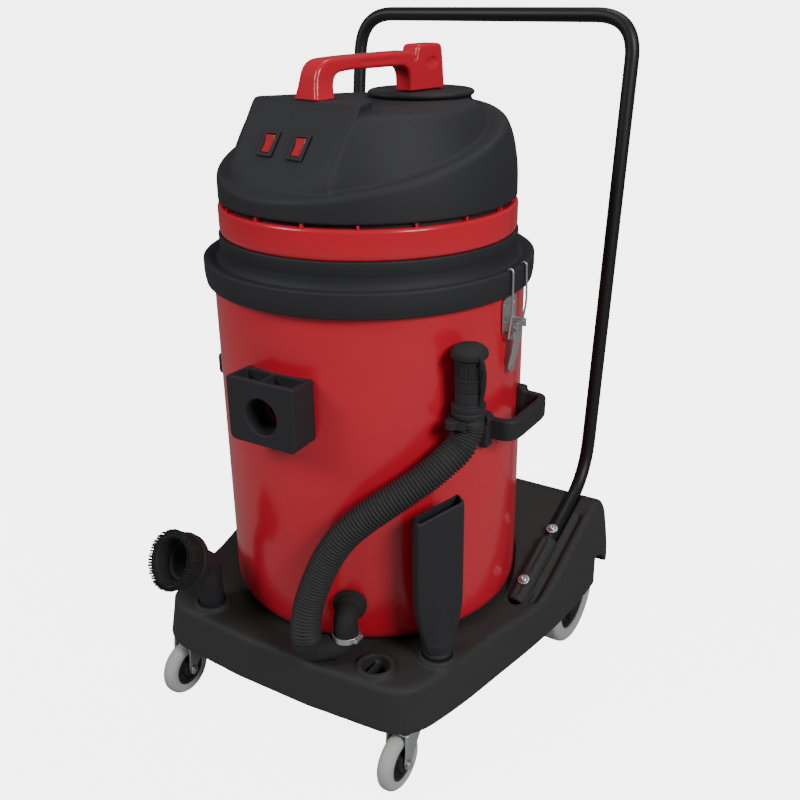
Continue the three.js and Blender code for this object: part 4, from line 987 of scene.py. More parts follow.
class VACUUM_OT_latches(bpy.types.Operator):
    """Over-centre latches: bracket with rivets, pressed lever and wire bail"""
    bl_idname = "vacuum.latches"
    bl_label = "Latches"

    def execute(self, context):
        voxel = context.scene.vacuum_sizes.fitting_voxel * 0.6
        spacer = LEVER_HALF + 0.5

        def bracket(x, y, z):
            plate = outline_distance(y, z, rounded([(-20, LATCH_Z - 10, 4), (20, LATCH_Z - 10, 4),
                                                    (20, LATCH_Z + 38, 9), (-20, LATCH_Z + 38, 9)]))
            plate = both(plate, np.maximum(TANK_R + 0.4 - x, x - TANK_R - 2.4), 0.4)
            ears = np.minimum(*(brick(x, y, z, (TANK_R + 1, e, LATCH_Z - 6),
                                      (LEVER_X + 4.5, e + 2.4, LATCH_Z + 6), 0.8)
                                for e in (spacer, -spacer - 2.4)))
            shaft = pin(x, y, z, (LEVER_X, -spacer - 4, LATCH_Z), (LEVER_X, spacer + 4, LATCH_Z), 2.4, 0.5)
            rivets = np.minimum(*(pin(x, y, z, (TANK_R + 1, r, LATCH_Z + 26),
                                      (TANK_R + 4.5, r, LATCH_Z + 26), 4, 1.4) for r in (-11, 11)))
            return np.minimum(melt(melt(plate, ears, 1), rivets, 0.5), shaft)

        def lever(x, y, z):
            spine = through([(233, LATCH_Z + 2), (234.2, LATCH_Z - 12), (232.6, LATCH_Z - 28),
                             (229.6, LATCH_Z - 46), (227.2, LATCH_Z - 58), (228.6, LATCH_Z - 66)], 5)
            sheet_part = rope(x, 0 * y, z, [(px, 0, pz) for px, pz in spine], 1.1)
            sheet_part = both(sheet_part, np.abs(y) - (LEVER_HALF - 1.5), 0.6)
            tip = pin(x, y, z, (222, 0, LATCH_Z - 58), (236, 0, LATCH_Z - 58), LEVER_HALF - 1.0, 0.5)
            sheet_part = both(sheet_part, np.minimum(tip, LATCH_Z - 58 - z), 0.4)
            barrel = pin(x, y, z, (LEVER_X, -LEVER_HALF, LATCH_Z), (LEVER_X, LEVER_HALF, LATCH_Z), 4.6, 0.6)
            cradle = pin(x, y, z, (BAIL_X, -LEVER_HALF, BAIL_Z), (BAIL_X, LEVER_HALF, BAIL_Z), 3.6, 0.6)
            web = brick(x, y, z, (BAIL_X - 1, -LEVER_HALF, BAIL_Z),
                        (LEVER_X - 1, LEVER_HALF, LATCH_Z - 3), 0.8)
            whole = melt(melt(melt(sheet_part, barrel, 1.2), cradle, 1.2), web, 1)
            eye = pin(x, y, z, (LEVER_X, -30, LATCH_Z), (LEVER_X, 30, LATCH_Z), 2.8, 0.2)
            bore = pin(x, y, z, (BAIL_X, -30, BAIL_Z), (BAIL_X, 30, BAIL_Z), 2.0, 0.2)
            return less(whole, np.minimum(eye, bore), 0.3)

        wire = 1.6
        out = RING_R + wire + 0.4
        hook = [(out - 7, RING_TOP + 1.2, 0), (out - 3, RING_TOP + 3.2, 2.5), (out, RING_TOP + 0.5, 2.5)]
        bail_half = 20
        near = [(x, -bail_half, z, r) for x, z, r in hook]
        far = [(x, bail_half, z, r) for x, z, r in reversed(hook)]
        course = rounded([
            *near, (out + 1.5, -bail_half - 1.5, LATCH_Z + 26, 12), (BAIL_X + 3, -bail_half, BAIL_Z + 16, 10),
            (BAIL_X, -bail_half + 3, BAIL_Z, 8), (BAIL_X, -LEVER_HALF - 1, BAIL_Z, 0),
            (BAIL_X, LEVER_HALF + 1, BAIL_Z, 0),
            (BAIL_X, bail_half - 3, BAIL_Z, 8), (BAIL_X + 3, bail_half, BAIL_Z + 16, 10),
            (out + 1.5, bail_half + 1.5, LATCH_Z + 26, 12), *far], closed=False, steps=6)
        for name, side in RIGHT_AND_LEFT:
            turn = Matrix.Rotation(0 if side > 0 else math.pi, 4, "Z")
            plate = moulded(f"latch_bracket_{name}_pressed", bracket, (218, -22, LATCH_Z - 12),
                            (243, 22, LATCH_Z + 40), voxel)
            arm = moulded(f"latch_lever_{name}_pressed", lever, (220, -14, LATCH_Z - 70),
                          (242, 14, LATCH_Z + 6), voxel)
            bail = tube(f"latch_bail_{name}_wire", evenly(course, 1.2), wire, 12)
            for made, node in ((plate, f"latch_bracket_{name}"), (arm, f"latch_lever_{name}"),
                               (bail, f"latch_bail_{name}")):
                made.data.transform(turn)
                settle(made, "chassis" if made is plate else node, "zinc", node)
        return {"FINISHED"}


# ------------------------------------------------------------------ motor head
PANEL_TOP_Y = -113
PANEL_SLOPE = 1.4
PANEL_HALF = 97
PANEL_BACK = -62
PANEL_TAPER = 27
FLAT_TOP = COVER_TOP - 12.3
CAP_DISC_Y = 113
CAP_DISC_R = 76
DISC_LOW = FLAT_TOP + GAP
SWITCH_X = 28
SWITCH_Z = COVER_TOP - 52
SWITCH_TILT = math.atan2(PANEL_SLOPE, 1)
COVER_R = 206
GLAND_Z = COVER_LOW + 32
MOTOR_X = 74
KEPT_NODES = {"float_cage": "black_shell", "inlet_hood": "black_shell", "rear_axle": "zinc"}


def face_y(z):
    """How far forward the switch face is at this height."""
    return PANEL_TOP_Y - (COVER_TOP - z) / PANEL_SLOPE


def on_face(x):
    """Carries a piece built flat, its front up, into the switch face."""
    return Matrix.Translation((x, face_y(SWITCH_Z), SWITCH_Z)) @ Matrix.Rotation(SWITCH_TILT, 4, "X")


class VACUUM_OT_motor_deck(bpy.types.Operator):
    """Motor deck with its bumper ring and collar, the seal under it and the exhaust band on it"""
    bl_idname = "vacuum.motor_deck"
    bl_label = "Motor deck and band"

    def execute(self, context):
        collar = 209
        bottom = low("tank_seal") + 4 + GAP
        deck = lathe("motor_deck_moulded", rounded([
            (0, bottom, 0), (TANK_R + 2.5, bottom, 1), (TANK_R + 2.5, RING_LOW, 1.2),
            (RING_R - 2.5, RING_LOW, 2.5), (RING_R, RING_LOW + 14, 6),
            (RING_R, RING_TOP, 5.5), (RING_R - 7, RING_TOP - 0.5, 2),
            (collar + 4, RING_TOP - 4.5, 4), (collar, RING_TOP + 3, 5), (collar - 1, RING_TOP + 12, 1.5),
            (collar, COLLAR_TOP - 8, 3), (collar, COLLAR_TOP, 3), (collar - 5, COLLAR_TOP, 1),
            (collar - 5, bottom + 6, 3), (0, bottom + 6, 0)], closed=False, steps=6), 240)
        ports = [tube("port", [(x, 0, bottom - 9), (x, 0, bottom), (x, 0, bottom + 20)], 24, 48)
                 for x in (-MOTOR_X, MOTOR_X)]
        settle(carved(deck, *ports), "head", "black_shell", "motor_deck", matrix=IN_HEAD)
        seal = lathe("tank_seal_lipped", rounded([
            (TANK_R - 9, RIM_Z + GAP, 1), (TANK_R, RIM_Z + GAP, 1), (TANK_R, RIM_Z + GAP + 4, 1),
            (TANK_R - 9, RIM_Z + GAP + 4, 1)], steps=3), 160, ring=True)
        settle(seal, "head", "black_rubber", "tank_seal", matrix=IN_HEAD)

        outer, ribs = 207.5, 18
        band = lathe("band", rounded([
            (outer - 8, BAND_LOW, 0.5), (outer - 2, BAND_LOW, 1.5), (outer, BAND_LOW + 6, 4),
            (outer, BAND_TOP - 3, 3), (outer - 3, BAND_TOP, 3), (outer - 8, BAND_TOP, 0.5)], steps=6),
            240, ring=True)
        posts = []
        for k in range(ribs):
            post = brick_object("post", (outer - 7.5, -1.6, BAND_TOP - 1), (outer - 1.8, 1.6, BAND_TOP + 5))
            post.data.transform(Matrix.Rotation(2 * math.pi * (k + 0.5) / ribs, 4, "Z"))
            posts.append(post)
        settle(carved(band, *posts, operation="UNION"), "head", "red_shell", "exhaust_band", matrix=IN_HEAD)
        baffle = lathe("exhaust_baffle", rounded([
            (outer - 14, BAND_LOW + 2, 1), (outer - 10, BAND_LOW + 2, 1), (outer - 10, COVER_LOW + 3, 1),
            (outer - 14, COVER_LOW + 3, 1)], steps=3), 160, ring=True)
        settle(baffle, "head", "black_shell", matrix=IN_HEAD)
        return {"FINISHED"}


class VACUUM_OT_cover(bpy.types.Operator):
    """Head cover with its stepped crease and switch face, the round cap and the cord gland"""
    bl_idname = "vacuum.cover"
    bl_label = "Head cover"

    def execute(self, context):
        base = COVER_LOW
        lower_line = through([
            (206, base - 20), (206, base), (205.8, base + 27), (203.8, base + 50),
            (198.6, base + 77), (190.5, base + 97), (179, base + 111), (166, base + 118.4)], 4)
        lower_line = [(0, base - 20), *lower_line, (158, FLAT_TOP), (0, FLAT_TOP)]
        dome_line = through([
            (192, base - 20), (192, base), (191, base + 20), (188, base + 38), (181, base + 59),
            (172, base + 80), (163, base + 98), (155, base + 111), (149, base + 117.6)], 4)
        dome_line = [(0, base - 20), *dome_line, (143, FLAT_TOP), (0, FLAT_TOP)]
        plan = [(-PANEL_HALF, -COVER_R), (PANEL_HALF, -COVER_R), (PANEL_HALF, PANEL_TOP_Y),
                (PANEL_HALF - PANEL_TAPER, PANEL_BACK), (PANEL_TAPER - PANEL_HALF, PANEL_BACK),
                (-PANEL_HALF, PANEL_TOP_Y)]
        wall, crease_rise = 4.5, 0.25

        def form(x, y, z):
            radial = np.sqrt(x ** 2 + y ** 2)
            lower = outline_distance(radial, z, lower_line)
            dome = outline_distance(radial, z, dome_line)
            crease = (z - (base + 76) - crease_rise * y) / math.hypot(1, crease_rise)
            block = both(outline_distance(x, y, plan), np.maximum(z - COVER_TOP, radial - COVER_R + 9), 1.5)
            face = ((z - COVER_TOP) - PANEL_SLOPE * (y - PANEL_TOP_Y)) / math.hypot(1, PANEL_SLOPE)
            upper = both(melt(dome, block, 2), face, 5 + 14 * np.clip((COVER_TOP - 10 - z) / 60, 0, 1))
            return melt(both(lower, crease, 7), upper, 2.5)

        def distance(x, y, z):
            outer = form(x, y, z)
            seat = np.sqrt(x ** 2 + (y - CAP_DISC_Y) ** 2)
            pedestal = np.maximum(seat - CAP_DISC_R + 4, np.maximum(COVER_TOP - 60 - z, z - FLAT_TOP))
            body = melt(outer, pedestal, 3)
            body = less(body, np.maximum(seat - CAP_DISC_R - 1.2, FLAT_TOP - z), 0.6)
            body = both(body, base - z, 1.2)
            body = less(body, outer + wall, 0.8)
            gland = np.maximum(np.sqrt(x ** 2 + (z - GLAND_Z) ** 2) - 6, 150 - y)
            body = less(body, gland, 0.8)
            normal = np.array([0, -math.sin(SWITCH_TILT), math.cos(SWITCH_TILT)])
            upward = np.array([0, math.cos(SWITCH_TILT), math.sin(SWITCH_TILT)])
            dy, dz = y - face_y(SWITCH_Z), z - SWITCH_Z
            depth = dy * normal[1] + dz * normal[2]
            along = dy * upward[1] + dz * upward[2]
            for side in (-1, 1):
                hole = np.maximum(np.maximum(np.abs(x - side * SWITCH_X) - 11.5, np.abs(along) - 15.5),
                                  np.abs(depth) - 30)
                body = less(body, hole, 0.5)
            return body

        made = moulded("head_cover_moulded", distance, (-208, -208, base - 2), (208, 208, COVER_TOP + 1),
                       context.scene.vacuum_sizes.cover_voxel)
        settle(made, "head", "black_shell", "head_cover", matrix=IN_HEAD, crisp=60)

        disc = lathe("cap_disc_turned", rounded([
            (0, DISC_LOW, 0), (CAP_DISC_R - 4, DISC_LOW, 1.5), (CAP_DISC_R, DISC_LOW + 3.5, 1.5),
            (CAP_DISC_R, DISC_LOW + 6.5, 2), (CAP_DISC_R - 3, DISC_LOW + 9, 2.4),
            (CAP_DISC_R - 8, DISC_LOW + 9, 1.5), (CAP_DISC_R - 10, DISC_LOW + 7.4, 1.5),
            (0, DISC_LOW + 7.4, 0)], closed=False), 160)
        disc.data.transform(Matrix.Translation((0, CAP_DISC_Y, 0)))
        settle(disc, "head", "black_shell", "cap_disc", matrix=IN_HEAD)

        gland = lathe("cord_gland_turned", rounded([
            (0, -14, 0), (5.5, -14, 1), (5.5, 0.8, 0.4), (11, 1, 1), (11, 5, 1.5), (9, 6, 1),
            *[(9 - 3 * k / 6 + (0.7 if k % 2 else 0), 7 + 17 * k / 6, 1) for k in range(7)],
            (3.6, 24, 0.5), (3.6, 16, 0.4), (0, 16, 0)], closed=False, steps=3), 48)
        backward = Matrix.Rotation(-math.pi / 2, 4, "X")
        gland.data.transform(Matrix.Translation((0, COVER_R, GLAND_Z)) @ backward)
        settle(gland, "head", "black_rubber", "cord_gland", matrix=IN_HEAD)
        return {"FINISHED"}


class VACUUM_OT_carry_handle(bpy.types.Operator):
    """Red carry handle with the cable hook at its rear foot"""
    bl_idname = "vacuum.carry_handle"
    bl_label = "Carry handle"

    def execute(self, context):
        top, rear = COVER_TOP, DISC_LOW + 9 + GAP
        side_line = rounded([
            (PANEL_TOP_Y, top - 6, 0), (PANEL_TOP_Y + 2, top + 3, 5), (PANEL_TOP_Y + 13, top + 47.5, 46),
            (-40, top + 49.6, 12), (40, top + 50, 12), (78, top + 50, 26), (86, top + 36, 5),
            (91, top + 57.5, 7), (142, top + 57.5, 9), (149.5, rear - 6, 0), (75, rear - 6, 0),
            (74, top + 31, 20), (-44, top + 32, 8), (-73, top + 30, 30), (-79, top - 6, 0)], steps=8)

        def distance(x, y, z):
            side = outline_distance(y, z, side_line)
            flare = 5.5 * np.clip((top + 30 - z) / 30, 0, 1) ** 2 * np.clip((-60 - y) / 20, 0, 1)
            half = 17 + flare - 1.5 * np.clip((y + 60) / 60, 0, 1)
            body = both(side, np.abs(x) - half, 5.5)
            dish = np.sqrt(((y - 120) / 1.5) ** 2 + (z - top - 33) ** 2 + (np.abs(x) - 21) ** 2) - 9.5
            body = less(body, dish, 2)
            waist = rope(19.5 - np.abs(x), y, z, [(0, -20, top + 40.5), (0, 44, top + 40.5)], 4.2)
            body = less(body, waist, 2)
            floor = np.where(y < 0, top + GAP, rear)
            return np.maximum(body, floor - z)

        made = moulded("carry_handle_moulded", distance, (-26, PANEL_TOP_Y - 3, rear - 1),
                       (26, 152, top + 58), context.scene.vacuum_sizes.fitting_voxel)
        settle(made, "head", "red_shell", "carry_handle", matrix=IN_HEAD, crisp=50)
        return {"FINISHED"}


class VACUUM_OT_switches(bpy.types.Operator):
    """Two rocker switches: black frames and clear red rockers"""
    bl_idname = "vacuum.switches"
    bl_label = "Switches"

    def execute(self, context):
        def frame_distance(x, y, z):
            bezel = brick(x, y, z, (-14, -18, GAP), (14, 18, 3.6), 1.4)
            box = brick(x, y, z, (-11, -15, -14), (11, 15, 1.5), 0.6)
            window = brick(x, y, z, (-9.2, -13.2, -11), (9.2, 13.2, 12), 0.6)
            return less(np.minimum(bezel, box), window, 0.4)

        rocker_line = rounded([(-11.8, 1.8, 0.8), (0, 0.7, 4), (11.8, 4.2, 0.8), (11.2, -2, 1), (4, -8, 2),
                               (-4, -8, 2), (-11.2, -2, 1)], steps=4)

        def rocker_distance(x, y, z):
            return both(outline_distance(y, z, rocker_line), np.abs(x) - 8.5, 0.5)

        voxel = context.scene.vacuum_sizes.fitting_voxel * 0.5
        for name, side in RIGHT_AND_LEFT:
            bezel = moulded(f"switch_frame_{name}_moulded", frame_distance, (-15, -19, -15), (15, 19, 5),
                            voxel)
            rocker = moulded(f"switch_rocker_{name}_moulded", rocker_distance, (-9, -13, -9), (9, 13, 5),
                             voxel)
            for made, body, slot, node in ((bezel, "head", "black_shell", "switch_frame_"),
                                           (rocker, f"rocker_{name}", "lit_red", "switch_rocker_")):
                made.data.transform(on_face(side * SWITCH_X))
                settle(made, body, slot, node + name, matrix=IN_HEAD)
        return {"FINISHED"}


class VACUUM_OT_inner_pieces(bpy.types.Operator):
    """What the head holds: two vacuum motors, float cage, float and cloth filter"""
    bl_idname = "vacuum.inner_pieces"
    bl_label = "Inner pieces"

    def execute(self, context):
        foot = low("vacuum_motor_right")
        for name, side in RIGHT_AND_LEFT:
            motor = lathe(f"vacuum_motor_{name}_turned", rounded([
                (0, 18, 0), (22, 18, 1), (22, 0, 1), (62, 0, 4), (62, 46, 6), (58, 52, 3), (42, 52, 2),
                (42, 58, 2), (47, 60, 2), (47, 104, 6), (38, 112, 4), (18, 114, 2), (18, 122, 3),
                (0, 122, 0)], closed=False, steps=4), 96)
            motor.data.transform(Matrix.Translation((side * MOTOR_X, 0, foot)))
            settle(motor, "head", "motor_case", f"vacuum_motor_{name}", matrix=IN_HEAD)
        top = high("cloth_filter")
        pleat = 2.4
        felt_bag = rib_ring("cloth_filter_sewn", [
            (0.001, top - 128, 0), (60, top - 128, 0), (96, top - 127, 0.2), (104, top - 122, 0.6),
            (122, top - 90, 1), (131, top - 20, 1), (134, top - 8, 0), (134, top, 0), (124, top, 0),
            (118, top - 60, 0), (114, top - 88, 0), (96, top - 122, 0), (0.001, top - 123, 0)],
            36, pleat, 216)
        felt_bag.data.transform(Matrix.Scale(0.995, 4))
        felt_bag.data.transform(Matrix.Translation((0, 0, top * 0.005)))
        settle(felt_bag, "head", "felt", "cloth_filter", matrix=IN_HEAD)
        base = low("shutoff_float")
        float_ring = lathe("shutoff_float_turned", rounded([
            (0, base, 0), (74, base, 5), (74, base + 33, 5), (30, base + 33, 2), (28, base + 30, 1),
            (0, base + 30, 0)], closed=False), 96)
        settle(float_ring, "shutoff_float", "float_foam", "shutoff_float")
        for node, slot in KEPT_NODES.items():
            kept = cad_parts[node]
            if not kept.material_slots:
                kept.data.materials.append(None)
            kept.material_slots[0].material = finish_of(slot)
        return {"FINISHED"}


# ------------------------------------------------------------------ trolley
WHEEL_R = 80
WHEEL_X = 255
ROLL = Matrix.Rotation(math.pi / 2, 4, "Y")
CASTER_R = 42
CASTER_TRAIL = 30                          # from the swivel's axis back to the roll axis
CASTER_AT = (196, -224)
PAD_Z = 2 * CASTER_R + 25
PLATE_TOP = PAD_Z - GAP
HANDLE_X = 242
TUBE_R = 11
SADDLE_TOP = TUBE_R + 4
HANDLE_LOW = (13, 155)
HANDLE_BEND = (274.5, 259.8)
HANDLE_TOP = (356, 978)
BOLT_STATIONS = (46, 148)
TUBE_SLOPE = math.atan2(HANDLE_BEND[1] - HANDLE_LOW[1], HANDLE_BEND[0] - HANDLE_LOW[0])
SOCKETS = ((148, -230), (-148, -230), (208, -166))
SOCKET_R = 19.5
SOCKET_DEPTH = 38
RAMP_START = 30


def off_tube(side, y, height):
    """A point this far above the tube's centreline, square to the ramp."""
    z = HANDLE_LOW[1] + (y - HANDLE_LOW[0]) * math.tan(TUBE_SLOPE)
    return (side * HANDLE_X, y - math.sin(TUBE_SLOPE) * height, z + math.cos(TUBE_SLOPE) * height)


def ramp_z(y):
    """Height of the ramp beside the tank."""
    return DECK_Z + (y - RAMP_START) * 0.4


class VACUUM_OT_trolley(bpy.types.Operator):
    """Moulded trolley base: skirt, deck, ramp, crest, well, tool sockets and tube grooves"""
    bl_idname = "vacuum.trolley"
    bl_label = "Trolley base"

    def execute(self, context):
        half, front, rear, wall = 288, -282, 292, 6

        def plan_line():
            right_side = [(half, rear + 20, 0), (half, 40, 60), (half - 38, front + 108, 60),
                          (half - 66, front + 12, 70), (60, front, 0)]
            return rounded([*right_side, *[(-x, y, r) for x, y, r in reversed(right_side)]], steps=8)

        def side_line(inset, floor):
            back = rear - inset
            return rounded([
                (front - 40, floor, 0), (RAMP_START, floor, 30), (WHEEL_Y - 10, floor - 15, 30),
                (back, floor - 15, 0), (back, 124, 20), (back - 14, 174, 20), (back - 30, 218 - inset, 14),
                (back - 50, 240 - inset, 14), (225, 240 - inset, 10), (RAMP_START, DECK_Z - inset, 40),
                (front - 40, DECK_Z - inset, 0)], steps=5)

        plan = plan_line()
        outside, inside = side_line(0, SKIRT_Z), side_line(wall, SKIRT_Z - 40)
        notch = rounded([
            (WHEEL_Y + 52, 40, 0), (WHEEL_Y + 46, 136, 10), (WHEEL_Y + 78, 122, 14), (WHEEL_Y + 100, 100, 8),
            (WHEEL_Y + 114, 84, 4), (WHEEL_Y + 130, 40, 0)], steps=4)

        def distance(x, y, z):
            radial = np.sqrt(x ** 2 + y ** 2)
            lean = np.maximum(0, z - SKIRT_Z) * 0.17 * np.clip((RAMP_START - y) / 120, 0, 1)
            spread_out = outline_distance(x, y, plan) + lean
            skin = both(spread_out, outline_distance(y, z, outside), 11)
            hollow = both(spread_out + wall, outline_distance(y, z, inside), 8)
            hollow = less(hollow, np.maximum(radial - TANK_R - 8, DECK_Z - wall - z), 2)
            body = less(skin, hollow, 1.5)
            body = less(body, np.maximum(radial - TANK_R - 1.8, DECK_Z - z), 2)
            for sx, sy in SOCKETS:
                boss = pin(x, y, z, (sx, sy, DECK_Z - SOCKET_DEPTH - 4), (sx, sy, DECK_Z + 7),
                           SOCKET_R + 7.5, 3)
                bore = pin(x, y, z, (sx, sy, DECK_Z - SOCKET_DEPTH), (sx, sy, DECK_Z + 30), SOCKET_R, 0.5)
                body = less(melt(body, boss, 5), bore, 2)
            side = np.abs(x)
            pad = pin(side, y, z, (*CASTER_AT, PAD_Z), (*CASTER_AT, DECK_Z - 3), 26, 1.5)
            web_levels = np.maximum(WHEEL_Y - 120 - z, z - ramp_z(y) + 8)
            web = np.maximum(np.abs(side - 218) - 5, np.maximum(np.abs(y - WHEEL_Y) - 30, web_levels))
            body = melt(melt(body, pad, 2), web, 2)
            for line in (-140, 0, 140):
                keel = np.maximum(np.abs(x - line) - 2, np.maximum(
                    np.maximum(-252 - y, y - 200), np.maximum(DECK_Z - 30 - z, z - DECK_Z + 3)))
                body = melt(body, keel, 1.5)
            body = less(body, np.maximum(outline_distance(y, z, notch), half - 38 - side), 3)
            axle = np.sqrt((y - WHEEL_Y) ** 2 + (z - WHEEL_R) ** 2) - 6.5
            body = less(body, axle, 0.5)
            ramp_path = [(HANDLE_X, *HANDLE_LOW), (HANDLE_X, *HANDLE_BEND)]
            beside = [off_tube(1, 20, 1), off_tube(1, 190, 1)]
            beside = [(HANDLE_X + 24, py, pz) for _, py, pz in beside]
            below = np.minimum(rope(side, y, z, ramp_path, TUBE_R + 7), rope(side, y, z, beside, 12))
            body = melt(body, both(below, skin + 2, 1), 2)
            body = less(body, rope(side, y, z, ramp_path, TUBE_R + 0.6), 2)
            body = less(body, rope(side, y, z, beside, 6), 3)
            rail = [(HANDLE_X + 36, py, pz - 3.5) for _, py, pz in (off_tube(1, 40, 0), off_tube(1, 200, 0))]
            return melt(body, rope(side, y, z, rail, 4.5), 5)

        made = moulded("trolley_base_moulded", distance, (-half - 3, front - 3, SKIRT_Z - 18),
                       (half + 3, rear + 3, 246), context.scene.vacuum_sizes.trolley_voxel)
        settle(made, "chassis", "black_base", "trolley_base", crisp=60)
        return {"FINISHED"}


def add_saddle(name, side, voxel):
    """The moulding that holds one lower end of the tube to the ramp."""
    first, last = BOLT_STATIONS[0] - 34, BOLT_STATIONS[1] - 16

    def distance(x, y, z):
        shell = pin(x, y, z, off_tube(side, first, 0), off_tube(side, last, 0), TUBE_R + 4.5, 3.5)
        groove_ends = [off_tube(side, first + 10, TUBE_R + 7.5), off_tube(side, last - 10, TUBE_R + 7.5)]
        beyond_bolt = 11 - np.abs(y - BOLT_STATIONS[0])
        shell = less(shell, np.maximum(rope(x, y, z, groove_ends, 5), beyond_bolt), 2)
        bore_ends = [off_tube(side, first - 40, 0), off_tube(side, last + 30, 0)]
        shell = less(shell, rope(x, y, z, bore_ends, TUBE_R + GAP), 0.6)
        ground = z - np.where(y < RAMP_START, DECK_Z, ramp_z(y)) - GAP
        return less(shell, ground, 0.5)

    x0, x1 = sorted((side * (HANDLE_X - 18), side * (HANDLE_X + 18)))
    made = moulded(f"handle_saddle_{name}_moulded", distance, (x0, first - 8, DECK_Z - 2),
                   (x1, last + 8, 230), voxel)
    settle(made, "chassis", "black_base", f"handle_saddle_{name}")


def add_handle_bolt(name, side, y, rest):
    """A domed bolt with its washer, square to the tube, on what reaches this far above the centreline."""
    seat = rest + GAP
    made = lathe(f"{name}_domed", rounded([
        (0, -20, 0), (3, -20, 0.5), (3, seat - 0.2, 0.2), (9, seat, 0.3), (9, seat + 1.7, 0.6),
        (6.4, seat + 1.8, 0.2), (6.2, seat + 3.4, 1.2), (4.2, seat + 5.4, 1.2), (2.4, seat + 5.5, 0.3),
        (2.2, seat + 4.2, 0.3), (0, seat + 4, 0)], closed=False, steps=4), 48)
    axis = Vector(off_tube(side, y, 10)) - Vector(off_tube(side, y, 0))
    made.data.transform(facing(*off_tube(side, y, 0), axis))
    settle(made, "chassis", "zinc", name)


class VACUUM_OT_push_handle(bpy.types.Operator):
    """Bent handle tube, the saddles that hold it and their bolts"""
    bl_idname = "vacuum.push_handle"
    bl_label = "Push handle"

    def execute(self, context):
        right = [(HANDLE_X, *HANDLE_LOW, 0), (HANDLE_X, *HANDLE_BEND, 64), (HANDLE_X, *HANDLE_TOP, 62)]
        course = evenly(rounded([*right, *[(-x, y, z, r) for x, y, z, r in reversed(right)]],
                                closed=False, steps=24), 6)
        bar = tube("push_handle_bent", course, TUBE_R - 0.2, 40)
        settle(bar, "chassis", "handle_tube", "push_handle", crisp=60)
        for name, side in RIGHT_AND_LEFT:
            add_saddle(name, side, context.scene.vacuum_sizes.fitting_voxel)
            for station, y in enumerate(BOLT_STATIONS):
                rest = SADDLE_TOP if station == 0 else TUBE_R
                add_handle_bolt(f"handle_bolt_{name}_{station + 1}", side, y, rest)
        return {"FINISHED"}


def tyre(name, radius, width, rim):
    """A solid tyre with a crowned tread and a step where it grips the rim."""
    h = width / 2
    return lathe(name, rounded([
        (rim, -h + 2, 0.6), (rim + 4, -h + 1.2, 1), (radius - 7, -h, 3), (radius - 1, -h + 5, 5),
        (radius, 0, 6), (radius - 1, h - 5, 5), (radius - 7, h, 3), (rim + 4, h - 1.2, 1),
        (rim, h - 2, 0.6)], steps=6), 128, ring=True)


def hub(name, rim, width, bore, web, spokes):
    """A moulded hub: rim, dished web with ribs, and boss."""
    h = width / 2
    shell = lathe(name, rounded([
        (bore, -h, 0.6), (bore + 8, -h, 1.5), (bore + 9.5, -web, 2), (rim - 6, -web, 3),
        (rim - 4, -h + 3, 1.5), (rim, -h + 3, 0.6), (rim, h - 3, 0.6), (rim - 4, h - 3, 1.5),
        (rim - 6, web, 3), (bore + 9.5, web, 2),
        (bore + 8, h, 1.5), (bore, h, 0.6)], steps=4), 96, ring=True)
    ribs = []
    for k in range(spokes):
        rib = brick_object("rib", (bore + 6, -1.4, -h + 4.5), (rim - 3, 1.4, h - 4.5))
        rib.data.transform(Matrix.Rotation(2 * math.pi * k / spokes, 4, "Z"))
        ribs.append(rib)
    return carved(shell, *ribs, operation="UNION")


def add_wheel(kind, name, body, at, radius, width, hub_sizes):
    """A tyre and its hub, turned to roll about X, at a point."""
    rim, hub_width, bore, web, spokes = hub_sizes
    place = Matrix.Translation(at) @ ROLL
    parts = ((tyre(f"{kind}_tyre_{name}_moulded", radius, width, rim + 0.4), "grey_tyre", "tyre"),
             (hub(f"{kind}_hub_{name}_moulded", rim, hub_width, bore, web, spokes), "black_shell", "hub"))
    for made, slot, part in parts:
        made.data.transform(place)
        settle(made, body, slot, f"{kind}_{part}_{name}")


def fork_distance(x, y, z):
    """A pressed caster fork: crown, bridge, two legs and the post up to its plate."""
    gap, crown_z = 14, 2 * CASTER_R
    crown = pin(x, y, z, (0, 0, crown_z + 5), (0, 0, crown_z + 16), 17, 2.5)
    post = pin(x, y, z, (0, 0, crown_z + 14), (0, 0, PLATE_TOP - 1), 5, 0.5)
    bridge = outline_distance(x, y, rounded([
        (-gap - 3, -CASTER_TRAIL - 2, 8), (gap + 3, -CASTER_TRAIL - 2, 8), (gap + 3, 14, 10),
        (-gap - 3, 14, 10)]))
    bridge = both(bridge, np.maximum(crown_z + 4 - z, z - crown_z - 7), 0.8)
    leg = outline_distance(y, z, rounded([
        (-CASTER_TRAIL - 7, CASTER_R + 2, 5), (-CASTER_TRAIL - 4, CASTER_R - 8, 5),
        (-CASTER_TRAIL + 5, CASTER_R - 8, 5), (-CASTER_TRAIL + 9, CASTER_R, 8), (13, crown_z + 1, 6),
        (13, crown_z + 6, 1), (-CASTER_TRAIL - 2, crown_z + 6, 1)]))
    legs = both(leg, np.abs(np.abs(x) - gap - 1.5) - 1.4, 0.6)
    whole = melt(melt(melt(crown, bridge, 2), legs, 2.5), post, 1)
    eye = np.sqrt((y + CASTER_TRAIL) ** 2 + (z - CASTER_R) ** 2) - 4.5
    return less(whole, eye, 0.3)


